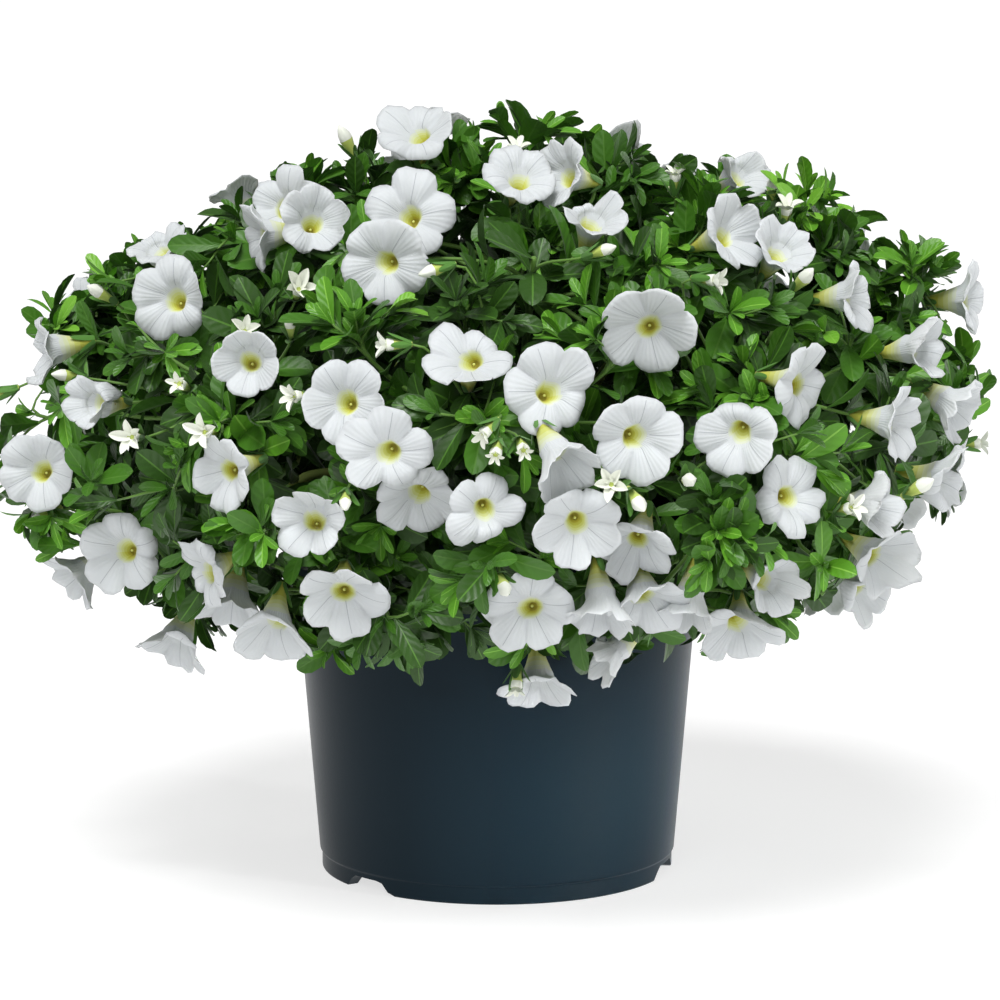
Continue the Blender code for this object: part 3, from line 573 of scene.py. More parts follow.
def makeMix():
    # rings out to the wall, heaped in the middle and roughened by two sizes of noise, with a skirt
    # down inside the wall; the chips are small uneven blocks scattered over the top
    edge = wallRadius(mix["top"] - mix["heap"]) - pot["wall"] - crumbs["gap"]
    low = wallRadius(pot["floorTop"]) - pot["wall"] - crumbs["gap"]

    def heaped(radius):
        return np.interp(radius, (crumbs["flat"], edge), (mix["top"], mix["top"] - mix["heap"]))

    pole = pot["pole"]
    radius = np.concatenate((np.linspace(pole, edge, mix["rings"]), (edge, low, pole)))
    height = heaped(radius)
    height[-3] = crumbs["skirtTop"]
    height[-2:] = pot["floorTop"] + plan["gap"]
    top = turned(np.zeros((1, 3)), upright, east, roundAngles(mix["sides"]), radius[None, :, None],
                 height[None, :, None])
    lumps = sum(share * smoothNoise(top, size, key)
                for key, (size, share) in enumerate(crumbs["lumps"], 1))
    fade = np.interp(radius, (edge - crumbs["fade"], edge), (1.0, 0.0))
    fade[mix["rings"]:] = 0.0
    top[..., 2] += mix["lump"] * lumps * fade[:, None]
    top, faceSets, uv = closedTube(top)
    faceSets = [(faces[:, ::-1], finish) for faces, finish in faceSets]

    rng = draws(21)
    count, rows, sides = mix["chips"], len(crumbs["chipSteps"]), crumbs["chipSides"]
    inside, outside = crumbs["chipRing"]
    spread = edge * outside * np.sqrt(rng.uniform(inside, 1.0, count))
    turn = rng.uniform(0.0, math.tau, count)
    middles = np.stack((spread * np.cos(turn), spread * np.sin(turn),
                        heaped(spread) - crumbs["chipSink"]), 1)
    axes = unit(rng.normal(0.0, 1.0, (count, 3)) * (1.0, 1.0, crumbs["chipFlat"]))
    long = rng.uniform(*crumbs["chipLength"], count)[:, None, None]
    wide = rng.uniform(*crumbs["chipWidth"], count)[:, None, None]
    girths = wide * np.array(crumbs["chipGirths"])[:, None]
    girths = girths * rng.uniform(*crumbs["chipUneven"], (count, rows, sides))
    steps = long * np.array(crumbs["chipSteps"])[:, None]
    chips = turned(middles, axes, sideways(axes), roundAngles(sides), girths, steps)
    tints = rng.choice(crumbs["chipTints"], count)[:, None]
    joinedMesh("potting_mix_crumbs", mixFinishes,
               [(top, faceSets, uv), closedTube(chips, tints, tints)], ["potting_mix"])


makeMix()


print("plan of the plant")


def planMasses():
    # each mass's bough and limb as cubics, by the same steps and draws as the solids
    rows = []
    for tier, count, firstDeg, onStem, start, end in crown["tiers"]:
        for k in range(count):
            azimuth = firstDeg + 360.0 / count * k
            rng = draws(count, k)
            near, far = at(azimuth, *start), at(azimuth + rng.uniform(-5, 5), *end)
            way = unit(far - near)
            third = way * np.linalg.norm(far - near) / 3
            foot = mix["top"] + plan["gap"]
            if onStem is None:
                root = at(0.0, 0.0, foot + stem["height"] + plan["gap"])
                lead = at(0.0, 0.0, plan["boughLead"])
            else:
                root = at(azimuth, stem["radius"] + plan["gap"], foot + onStem)
                lead = at(azimuth, plan["boughLead"], 0.0)
            coarse, limb = (bezier(near + way * plan["gap"], third, third, far, n) for n in (5, 9))
            rows.append({
                "name": tier if count == 1 else f"{tier}_{k + 1}", "lead": lead,
                "bough": bezier(root, lead, way * plan["boughTail"], near, 22),
                "coarse": coarse, "limb": limb, "middle": (near + far * 2) / 3,
            })
    return table(rows)


def cornersOf(node):
    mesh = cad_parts[node].data
    values = np.empty(len(mesh.vertices) * 3, np.float32)
    mesh.vertices.foreach_get("co", values)
    return values.reshape(-1, 3)


masses = planMasses()
massCount = len(masses["name"])
solidPoints = np.concatenate([cornersOf(f"mass_{name}") for name in masses["name"]])


def inSolids(point):
    # whether the solids have a corner there, which tells that they grew this shoot
    return np.abs(solidPoints - point).max(axis=1).min() < plan["cornerGap"]


def scattered(count, heights, key, level, scatter, rng, lift=0.0):
    # even places on a level of the dome, each with a way that is outwards but for chance
    for way in evenWays(count, heights, key):
        point = crownPoint(way, level)
        outward = crownOutward(point) + (0.0, 0.0, lift) + rng.normal(0.0, scatter, 3)
        yield point, unit(outward)


def shootTo(spot, target, arrival, rng):
    # The mass whose middle is nearest to the spot, and a shoot that leaves its limb forwards, a
    # little before the target's foot on it, and arrives at the target the given way
    mass = int(np.linalg.norm(masses["middle"] - spot, axis=1).argmin())
    coarse = masses["coarse"][mass]
    along = coarse[-1] - coarse[0]
    share = (target - coarse[0]) @ along / (along @ along) - plan["shootForward"]
    share = share + rng.uniform(-plan["shootStray"], plan["shootStray"])
    place = float(np.clip(share, *plan["shootFrom"])) * (len(coarse) - 1)
    low = min(int(place), len(coarse) - 2)
    root = coarse[low] + (coarse[low + 1] - coarse[low]) * (place - low)
    forward = np.linalg.norm(target - root) * plan["shootForward"]
    lead = unit(along) * forward + rng.normal(0.0, plan["shootJitter"], 3)
    return {"mass": mass, "path": bezier(root, lead, arrival * forward, target, 9)}


def growBlooms():
    # each planned bloom at the depth where the solids have it, and those seen at least in their
    # first place
    planned = []
    for across, down, turn, lift, size in bloomsSeen:
        point, sight = seenAt(across, down, plan["bloomLevel"])
        planned.append((point, facing(turn, lift), sight, size))
    for point, face in scattered(plan["hiddenBlooms"], plan["hiddenHeights"], 3,
                                 plan["bloomLevel"], plan["bloomScatter"], draws(2)):
        if point[1] > plan["hiddenY"]:
            planned.append((point, face, -face, 0.0))
    rows = []
    for n, (point, axis, line, size) in enumerate(planned):
        found = []
        for depth in plan["bloomDepths"]:
            rng = draws(6, n)
            throat = point + line * depth
            grown = inSolids(throat - axis * plan["bloomWell"])
            bloomRow = {
                "throat": throat, "axis": axis, "seen": size > 0,
                **shootTo(throat, throat - axis * plan["bloomStalk"], axis, rng),
                "spin": rng.uniform(0.0, 72.0), "size": size or rng.uniform(*plan["hiddenSizes"]),
            }
            if grown or (size and depth == plan["bloomDepths"][0]):
                found = [bloomRow]
            if grown:
                break
        rows += found
    return table(rows)


def growTufts():
    # each planned shoot as the solids have it, or in its first place where they left it out; the
    # tips seen against the sky lie in the upright plane through the middle
    tufts, planned = [], []
    for n, (across, down) in enumerate(tipsSeen):
        ray = sightThrough(across, down)
        tip = eye - ray * eye[1] / ray[1]
        outward = crownOutward(tip) * (1.0, plan["tipAcross"], 1.0)
        outward = unit(outward + (0.0, 0.0, plan["tuftLift"]))
        depth = plan["leafLength"] * plan["tipDepth"]
        planned.append((tip - outward * depth, outward, (8, n)))
    rng = draws(4)
    for count, level, heights in plan["tuftLayers"]:
        for tip, outward in scattered(count, heights, count, level, plan["tuftScatter"], rng,
                                      plan["tuftLift"]):
            depth = plan["leafLength"] * rng.uniform(*plan["tuftDepth"])
            planned.append((tip - outward * depth, outward, (7, len(planned) - len(tipsSeen))))
    count = plan["whorlLeaves"]
    for end, axis, key in planned:
        rng, tries = draws(*key), []
        for attempt in range(plan["tuftTries"]):
            base = end + rng.normal(0.0, plan["tuftNudge"], 3) * (attempt > 0)
            parts = shootTo(base, base + axis * plan["whorlTop"] * plan["whorlSunk"], axis, rng)
            spin = rng.uniform(0.0, 360.0)
            rises = rng.uniform(-plan["whorlStray"], plan["whorlStray"], count)
            rises = np.resize(plan["whorlRises"], count) + rises
            lengths = plan["leafLength"] * np.resize(plan["whorlLengths"], count)
            lengths = lengths * rng.uniform(*plan["leafVariation"], count)
            tries.append({"base": base, "axis": axis, **parts, "spin": spin, "rises": rises,
                          "lengths": lengths, "grown": inSolids(base + axis * plan["whorlTop"])})
            if tries[-1]["grown"]:
                break
        tuft = tries[-1 if tries[-1]["grown"] else 0]
        # the solids may have closed the whorl up and shortened it, which its first leaf's tip tells
        out = turnAbout(sideways(axis), axis, tuft["spin"])
        rises, lengths = tuft["rises"], tuft["lengths"]
        for size, closing in plan["whorlSizes"]:
            rise = math.radians(rises[0] + closing)
            tip = tuft["base"] - axis * plan["whorlNotch"] / 2
            tip = tip + (out * math.cos(rise) + axis * math.sin(rise)) * lengths[0] * size
            if tuft["grown"] and inSolids(tip):
                tuft["rises"], tuft["lengths"] = rises + closing, lengths * size
        tufts.append(tuft)
    return table(tufts)


blooms = growBlooms()
tufts = growTufts()
print(f"  {len(blooms['size'])} blooms, {tufts['grown'].sum()} of {len(tufts['grown'])} leafy "
      "shoots as in the solids")


print("boughs and stem")

def bell(values, middle, width):
    # 1 at the middle, and less by the square of the distance over the width on both sides
    return np.exp(-(((values - middle) / width) ** 2))


bark = {
    "boughRadii": (0.0026, 0.0018), "boughSides": 12,
    "scars": 6.0, "scar": 0.10, "scarWidth": 0.16,  # leaf scars on a bough, how high and wide
    "ridges": 5, "ridge": 0.05, "twist": 4.0, "rough": 0.05,
    "stemRings": 40, "stemSides": 48, "stemTop": 0.90, "flareFall": 1.1,
    "furrows": ((9, 0.030, 0.0), (17, 0.018, 2.0)), "wander": 0.5,  # how many, how deep, their turn
    "ripples": 23, "ripple": 0.012,
}


def makeLimbs():
    # Boughs: the solids' own curves with a finer ring, whose radius carries ridges lengthways, a
    # swelling at each leaf scar and noise. Stem: a flared column with furrows that wander.
    paths, sides = masses["bough"], bark["boughSides"]
    along = np.linspace(0.0, 1.0, paths.shape[1])[:, None]
    low, high = bark["boughRadii"]
    scars = bell((along * bark["scars"]) % 1.0, 0.5, bark["scarWidth"])
    ridges = bark["ridge"] * np.sin(bark["ridges"] * roundAngles(sides) + bark["twist"] * along)
    rng = draws(22)
    rough = bark["rough"] * rng.uniform(-1, 1, (len(paths), len(along), sides))
    radii = (low + (high - low) * along) * (1 + ridges + bark["scar"] * scars + rough)
    joinedMesh("boughs_bark", [barkFinish],
               [tubes(paths, radii, sides, unit(masses["lead"]))],
               [f"bough_{name}" for name in masses["name"]])

    height = np.linspace(0.0, 1.0, bark["stemRings"])[:, None]
    angle = roundAngles(bark["stemSides"])
    fall = np.exp(-height * stem["height"] / stem["flareHeight"] * bark["flareFall"])
    bend = angle + bark["wander"] * np.sin(5 * height)
    furrow = sum(depth * np.sin(count * bend + turn) for count, depth, turn in bark["furrows"])
    furrow = furrow + bark["ripple"] * np.sin(bark["ripples"] * height)
    radii = (stem["radius"] + (stem["flareRadius"] - stem["radius"]) * fall) * (1 + furrow)
    radii[-1] *= bark["stemTop"]
    foot = at(0.0, 0.0, mix["top"] + plan["gap"])[None]
    points = turned(foot, upright, east, angle, radii[None], height[None] * stem["height"])
    joinedMesh("stem_bark", [barkFinish], [closedTube(points)], ["stem"])


makeLimbs()


print("shoots and leaves")

leaf = {
    "length": 0.0225,
    "rows": (0.0, 0.13, 0.34, 0.58, 0.80, 0.94, 1.0),
    "halves": (0.15, 0.26, 0.68, 0.98, 0.97, 0.68, 0.32),  # of the half width, at each row
    "rib": 0.070,  # half of the rib, as a share of the half width
    "cup": 0.16, "bend": (0.02, 0.20), "droop": (-0.02, 0.22),
    "lengths": (0.86, 1.12), "breadths": (0.86, 1.14), "tiltStray": 9.0,
    "upLight": 0.55, "strayLight": 0.28, "toLight": 0.9,  # how far the faces turn to the light
    # ages from 0, old, to 3, young: by the crown's level, with painted shade by height that makes
    # lower leaves older and darker and higher ones younger and lighter, chance, and more again at
    # the tips of side and main shoots
    "byLevel": (2.4, -0.95), "paintedShadeByHeight": ((0.20 - 0.5 / 6, 0.25), (-0.5, 0.3)),
    "ageStray": (0.45, 0.35), "fresh": 2.49, "young": 3.49, "tipYounger": (0.9, 1.1),
    "tipStray": (-0.4, 0.5), "tipSpins": (40, 20),  # chance in their ages, and their rosettes' turn
    # by level seen from the front, the share of side shoots left out
    "thin": ((0.66, 0.80, 0.93, 0.98), (0.0, 0.46, 0.46, 0.0)),
    "lifts": ((-119.0, 26.0, 0.034), (-50.0, 26.0, 0.028)),  # azimuths where the skirt ends higher
    "veinMap": (1.6, 0.45),  # side veins in a blade's length, and how far they slant
    "pieces": {
        "upper": (0, 6), "middle_right": (6, 10), "middle_left": (10, 14), "skirt": (14, 22),
    },
}
# Leaves along each kind of shoot: how many, the stretch of it that they cover, the chance in their
# places, their tilts off it, their sizes against the leaf's length, and their width against that
leafRows = {
    "side": (5, (0.26, 0.96), 0.04, (72.0, 38.0), (1.04, 0.84), 0.42),
    "sideTip": (6, (0.96, 1.0), 0.0, (52.0, 20.0), (0.78, 0.46), 0.33),
    "main": (7, (0.34, 0.95), 0.03, (76.0, 55.0), (1.12, 0.95), 0.42),
    "mainTip": (6, (1.0, 1.0), 0.0, (52.0, 20.0), (0.78, 0.46), 0.33),
    "bloom": (5, (0.36, 0.50, 0.64, 0.76, 0.80), 0.03, (70.0, 58.0),
              (1.1, 1.0, 0.95, 0.82, 0.78), 0.42),
    "limb": (15, (0.30, 0.98), 0.03, (74.0, 50.0), (1.1, 1.1), 0.42),
    "bough": (10, (0.40, 0.97), 0.03, (66.0, 66.0), (1.15, 1.15), 0.42),
}
shoot = {
    "reach": 0.62,  # where a side shoot ends, on its way to the tip that the solids give it
    "shorter": 0.72, "spacing": 0.045, "lead": 0.45, "tail": 0.35, "tip": 0.012,
    "leafScale": ((0.0054, 0.0279), (0.80, 1.05)),  # its leaves' size by its own length
    "mainRadii": (0.00115, 0.00075), "sideRadii": (0.00070, 0.00042),
    "bloomRadii": (0.00095, 0.00062), "limbRadii": (0.0018, 0.0011),
    "thick": 0.0008,  # from this radius on they have six sides and not four
}
clear = {
    # leaves keep off each bloom's disc, the space before its face and its tube behind, and off the
    # line of sight to those seen, but for the sizes given to the half hidden ones
    "front": 0.016, "disc": 0.0172, "back": 0.004, "tube": 0.018, "tubeRadius": 0.0052,
    "sight": (-0.002, 0.055), "aside": 0.0122, "halfHidden": (0.58, 0.74),
}
columns = np.array((-1.0, -leaf["rib"], leaf["rib"], 1.0))


def spread(values, count):
    # the values dealt evenly over the count, straight between those given
    return np.interp(np.linspace(0.0, 1.0, count), np.linspace(0.0, 1.0, len(values)), values)


def onPaths(paths, shares):
    # points and tangents at shares of each path, straight between its points
    place = np.clip(shares, 0.0, 0.9999) * (paths.shape[1] - 1)
    low = place.astype(int)
    rows = np.arange(len(paths))[:, None]
    here, after = paths[rows, low], paths[rows, low + 1]
    return here + (after - here) * (place - low)[..., None], unit(after - here)


def blades(leaves, halves, cup):
    # Along t and across v: the way by length * (t - 0.025 * v^2 * t^4), the side by half width *
    # halves(t), and the face by bend * t * (1 - t) - droop * t^2, plus the cup by |v|.
    t, v = np.array(leaf["rows"])[:, None], columns[None]
    across = v * np.array(halves)[:, None]
    length, width, bend, droop = (leaves[key][:, None, None]
                                  for key in ("length", "width", "bend", "droop"))
    high = length * (bend * t * (1 - t) - droop * t**2) + cup * width * np.abs(across)
    way, face = leaves["way"], leaves["face"]
    points = leaves["base"][:, None, None]
    for direction, step in ((way, length * (t - 0.025 * v**2 * t**4)),
                            (np.cross(way, face), width / 2 * across), (face, high)):
        points = points + direction[:, None, None] * step[..., None]
    return points.reshape(len(points), -1, 3)


def sprouting(kind, paths, owners, rng, ages=0.0, spins=None, scale=1.0):
    # leaves round each path by the golden angle, each tilted off it, with their faces turned half
    # to the shoot's tip and half to the light outside the crown
    count, stretch, stray, tilts, sizes, breadth = leafRows[kind]
    shares = spread(stretch, count) + np.zeros((len(paths), 1))
    if stray:
        shares = shares + rng.uniform(-stray, stray, shares.shape)
    if kind == "bloom":
        ages = rng.choice((0, 1, 1, 2), len(paths))
    if spins is None:
        spins = rng.uniform(0.0, 360.0, len(paths))
    points, tangents = onPaths(paths, shares)
    radial = turnAbout(sideways(tangents), tangents,
                       spins[:, None] + plan["goldenDeg"] * np.arange(count))
    tilt = spread(tilts, count) + rng.uniform(-leaf["tiltStray"], leaf["tiltStray"], shares.shape)
    tilt = np.radians(tilt)[..., None]
    way = unit(tangents * np.cos(tilt) + radial * np.sin(tilt))
    light = crownOutward(points) + (0.0, 0.0, leaf["upLight"])
    light = unit(light + rng.normal(0.0, leaf["strayLight"], points.shape))
    face = unit(squareTo(tangents + light * leaf["toLight"], way))
    length = leaf["length"] * spread(sizes, count) * scale
    length = (length * rng.uniform(*leaf["lengths"], shares.shape)).ravel()
    total = shares.size
    return {
        "base": points.reshape(-1, 3), "way": way.reshape(-1, 3), "face": face.reshape(-1, 3),
        "length": length, "width": length * breadth * rng.uniform(*leaf["breadths"], total),
        "bend": rng.uniform(*leaf["bend"], total), "droop": rng.uniform(*leaf["droop"], total),
        "tint": np.repeat(np.zeros(len(paths), int) + np.asarray(ages).astype(int), count),
        "owner": np.repeat(owners, count),
    }


def openSpace(points):
    # inside the crown's reach, above its floor and clear of the pot
    radius = np.hypot(points[..., 0], points[..., 1])
    azimuth = np.degrees(np.arctan2(points[..., 1], points[..., 0]))
    inPot = radius < pot["lipRadius"] + crown["potGap"]
    inPot &= points[..., 2] < pot["height"] + crown["potGap"]
    floor = crown["floorZ"]
    for middle, width, lift in leaf["lifts"]:
        floor = floor + lift * (np.abs(azimuth - middle) < width)
    limit = crown["leafLimit"] + outlineChange(points)
    return ~inPot & (points[..., 2] > floor) & (crownLevel(points) < limit)


sights = unit(blooms["throat"] - eye)
least, most = clear["halfHidden"]
keptInSight = blooms["seen"] & ~((blooms["size"] > least) & (blooms["size"] < most))


def clearOfBlooms(points):
    gap = points[:, None] - blooms["throat"]
    height = (gap * blooms["axis"]).sum(-1)
    off = np.linalg.norm(gap - height[..., None] * blooms["axis"], axis=-1)
    before = (height > -clear["back"]) & (height < clear["front"])
    before &= off < clear["disc"] * blooms["size"]
    behind = (height > -clear["tube"]) & (height <= -clear["back"]) & (off < clear["tubeRadius"])
    toEye = -(gap * sights).sum(-1)
    aside = np.linalg.norm(gap + toEye[..., None] * sights, axis=-1)
    near, far = clear["sight"]
    hiding = (toEye > near) & (toEye < far) & (aside < clear["aside"] * blooms["size"])
    return ~(before | behind | hiding & keptInSight).any(axis=1)


def growLeaves():
    # side shoots carry each whorl leaf of the solids on to its tip; leaves sit along every shoot
    # and close up into a rosette at its end, and some side shoots near the outline are left out
    rng = draws(30)
    count = plan["whorlLeaves"]
    bases = tufts["base"]
    keep = openSpace(bases) & openSpace(tufts["path"][:, 6])
    main = chosen(tufts, keep & (tufts["grown"] | clearOfBlooms(bases)))
    bases, axes = main["base"], main["axis"][:, None]
    slope, start = leaf["byLevel"]
    ages = crownLevel(bases) * slope + start + rng.normal(0.0, leaf["ageStray"][0], len(bases))
    # painted shade and light by height: lower leaves take older, darker tints and higher ones
    # younger, lighter tints
    ages = np.clip(ages + np.interp(bases[:, 2], *leaf["paintedShadeByHeight"]), 0.0, leaf["fresh"])

    outs = turnAbout(spunSides(main)[:, None], axes, np.arange(count) * 360.0 / count)
    rises = np.radians(main["rises"])[..., None]
    ways = outs * np.cos(rises) + axes * np.sin(rises)
    shares = 1.0 - np.arange(count)[::-1] * shoot["spacing"] - np.zeros((len(bases), 1))
    roots, tangents = onPaths(main["path"], shares)
    lengths = main["lengths"] * np.where(main["grown"], 1.0, shoot["shorter"])[:, None]
    ends = bases[:, None] + ways * (lengths * shoot["reach"])[..., None]
    run = np.linalg.norm(ends - roots, axis=-1)[..., None]
    paths = bezier(roots, tangents * run * shoot["lead"], ways * run * shoot["tail"], ends, 5)
    side = {"path": paths.reshape(-1, 5, 3), "mass": np.repeat(main["mass"], count),
            "run": run.ravel(), "age": np.repeat(ages, count)}
    tips = side["path"][:, -1] + ways.reshape(-1, 3) * shoot["tip"]
    keep = openSpace(tips) & openSpace(side["path"][:, -1])
    keep &= clearOfBlooms(tips) & clearOfBlooms(side["path"][:, 3])
    thin = np.interp(crownLevel(tips * (1.0, 0.0, 1.0)), *leaf["thin"])
    keep &= draws(31).uniform(0.0, 1.0, len(tips)) > thin
    side = chosen(side, keep)
    total = len(side["age"])
    sideAges = side["age"] + rng.normal(0.0, leaf["ageStray"][1], total)
    sideAges = np.clip(sideAges, 0.0, leaf["fresh"])
    spins = rng.uniform(0.0, 360.0, total)
    scale = np.interp(side["run"], *shoot["leafScale"])[:, None]

    sets = [sprouting("side", side["path"], side["mass"], rng, sideAges, spins, scale)]
    sideTip, mainTip = leaf["tipYounger"]
    sideSpin, mainSpin = leaf["tipSpins"]
    young = sideAges + sideTip + rng.uniform(*leaf["tipStray"], total)
    young, spins = np.clip(young, 0.0, leaf["young"]), spins + sideSpin
    sets.append(sprouting("sideTip", side["path"], side["mass"], rng, young, spins, scale))
    sets.append(sprouting("main", main["path"], main["mass"], rng, ages, main["spin"]))
    young, spins = np.clip(ages + mainTip, 0.0, leaf["young"]), main["spin"] + mainSpin
    sets.append(sprouting("mainTip", main["path"], main["mass"], rng, young, spins))
    sets.append(sprouting("bloom", blooms["path"], blooms["mass"], rng))
    sets += [sprouting(kind, masses[kind], np.arange(massCount), rng) for kind in ("limb", "bough")]

    leaves = together(sets)
    tip = leaves["base"] + leaves["way"] * leaves["length"][:, None]
    middle = (leaves["base"] + tip) / 2
    edge = np.cross(leaves["way"], leaves["face"]) * leaves["width"][:, None] / 2
    keep = openSpace(tip) & openSpace(middle) & openSpace(leaves["base"]) & clearOfBlooms(tip)
    keep &= clearOfBlooms(middle + edge) & clearOfBlooms(middle - edge)
    return chosen(leaves, keep), (
        (side["path"], "sideRadii"), (main["path"], "mainRadii"),
        (blooms["path"], "bloomRadii"), (masses["limb"], "limbRadii"),
    )


leaves, twigs = growLeaves()
print(f"  {len(leaves['base'])} leaves on {sum(len(paths) for paths, radii in twigs)} twigs")


def makeLeaves():
    # one piece for each tier and two for the fullest; the map runs along each blade and slants with
    # the side veins
    rows = len(leaf["rows"])
    quads = gridFaces(rows, 4, False)
    onRib = np.tile((False, True, False), rows - 1)
    v = np.tile(columns, rows)
    veins, slant = leaf["veinMap"]
    uv = np.stack((veins * np.repeat(leaf["rows"], 4) - slant * np.abs(v), v), axis=1)
    for label, (first, last) in leaf["pieces"].items():
        some = chosen(leaves, (leaves["owner"] >= first) & (leaves["owner"] < last))
        rib = np.where(some["tint"] >= 2, 5, 4)[:, None]
        finish = np.where(onRib, rib, some["tint"][:, None])
        joinedMesh("leaves_" + label, leafFinishes,
                   [(blades(some, leaf["halves"], leaf["cup"]), [(quads, finish)], uv)],
                   [f"mass_{name}" for name in masses["name"][first:last]])


makeLeaves()


def makeTwigs():
    # tapering tubes along every shoot; thicker ones have more sides
    shapes = []
    for paths, kind in twigs:
        radii = np.linspace(*shoot[kind], paths.shape[1])[:, None]
        shapes.append(tubes(paths, radii, 4 if radii[0] < shoot["thick"] else 6))
    joinedMesh("twigs_green", greenFinishes[:1], shapes)


makeTwigs()


print("blooms")

bloom = {
    "lobes": 5, "notch": 0.205, "notchPower": 3.0, "notches": (0.70, 1.30),
    "dent": 0.025, "dentWidth": 0.22, "lobeLengths": (0.93, 1.05), "uneven": 0.06,
    "veinHalf": 0.13,  # half of a vein's width in mm
    "across": (-1.0, -0.87, -0.64, -0.34, -0.02, 0.02, 0.34, 0.64, 0.87),
    # rings from the bottom of the throat out to the rim: radius and height in mm, and the finish
    # from there on; then the same back down the outside to the foot
    "front": (
        (0.4, -7.4, 8), (1.0, -7.0, 8), (1.6, -6.0, 8), (2.1, -5.0, 7), (2.7, -4.1, 6),
        (3.3, -3.3, 5), (3.8, -2.6, 4), (4.3, -2.0, 3), (4.8, -1.4, 2), (5.4, -0.8, 0),
        (6.2, -0.2, 0), (7.8, 0.5, 0), (9.8, 1.1, 0), (12.0, 1.6, 0), (14.2, 1.9, 0),
        (16.3, 1.9, 0), (18.0, 1.6, 0),
    ),
    "back": (
        (18.05, 1.4, 0), (15.4, 1.4, 0), (12.2, 1.0, 0), (9.6, 0.1, 0), (7.8, -1.4, 0),
        (6.5, -3.4, 2), (5.6, -5.2, 3), (4.8, -7.2, 4), (4.0, -9.4, 5), (3.2, -11.8, 6),
        (2.6, -14.6, 6), (2.0, -18.4, 6),
    ),
    "limb": (5.5, 18.0), "throat": (0.7, 6.0),  # the limb's radii and the throat's depths in mm
    # how far the mouth of the throat is five-sided and oval, at what radius and over what width
    "mouth": ((0.04, 4.2, 1.6), (0.08, 4.0, 1.8)),
    # how far the throat's bottom lies aside, towards the stalk's foot, in mm, and its chance
    "lean": 3.1, "leanStray": 0.22, "leanLeast": 0.35,
    # by how many rings the colours start lower on the wall that it leans away from, of how many
    "pale": 2.0, "paleRings": 10,
    "veins": (4.6, 15.8),  # where they start and end, in mm from the middle
    # the limb's relief in mm: a puff that ends at a share of the limb, a valley and a groove, with
    # the groove's width, each lower by a share at the rim; waves round it, coarse and fine
    "puff": (1.3, 0.8), "valley": (2.2, 0.45), "groove": (0.7, 0.15, 0.4),
    "wave": 1.0, "waveSizes": (0.4, 1.4), "waveTurns": (6, 10), "fine": (0.25, 23),
    "lobeTilt": 2.0, "saddle": 1.5, "cup": (-1.8, 1.8), "droopCup": 3.2, "droopBelow": -0.3,
    # a folded side: how far, in what share of blooms, which ways, how much shorter that side is,
    # and below what size it folds further
    "fold": 6.5, "folded": 0.45, "foldWays": (-1.0, 0.8), "foldShort": 0.20,
    "foldMore": (0.86, 1.6),
    "openSize": 0.90, "funnel": 26.0,  # smaller blooms are still funnels, by mm for each part below
    "funnelMost": 0.2, "throatSize": 0.55, "limbFrom": 6.5,
    "seam": 0.00101,  # metres for each mm, with the width of a seam
    "stigma": ((0.25, -5.6), (0.50, -5.2), (0.55, -4.8), (0.25, -4.5)), "stigmaSides": 7,
}


def leanShare(heights):
    # 0 at the mouth of the throat and 1 at its bottom
    return np.interp(-heights, bloom["throat"], (0.0, 1.0))


def leanWays(group):
    # from each throat towards the foot of its stalk, square to its axis, with a little chance
    ways = unit(group["path"][:, 0] - group["throat"])
    ways = ways + draws(41).normal(0.0, bloom["leanStray"], ways.shape)
    ways = squareTo(ways, group["axis"])
    return ways / np.maximum(np.linalg.norm(ways, axis=-1, keepdims=True), bloom["leanLeast"])


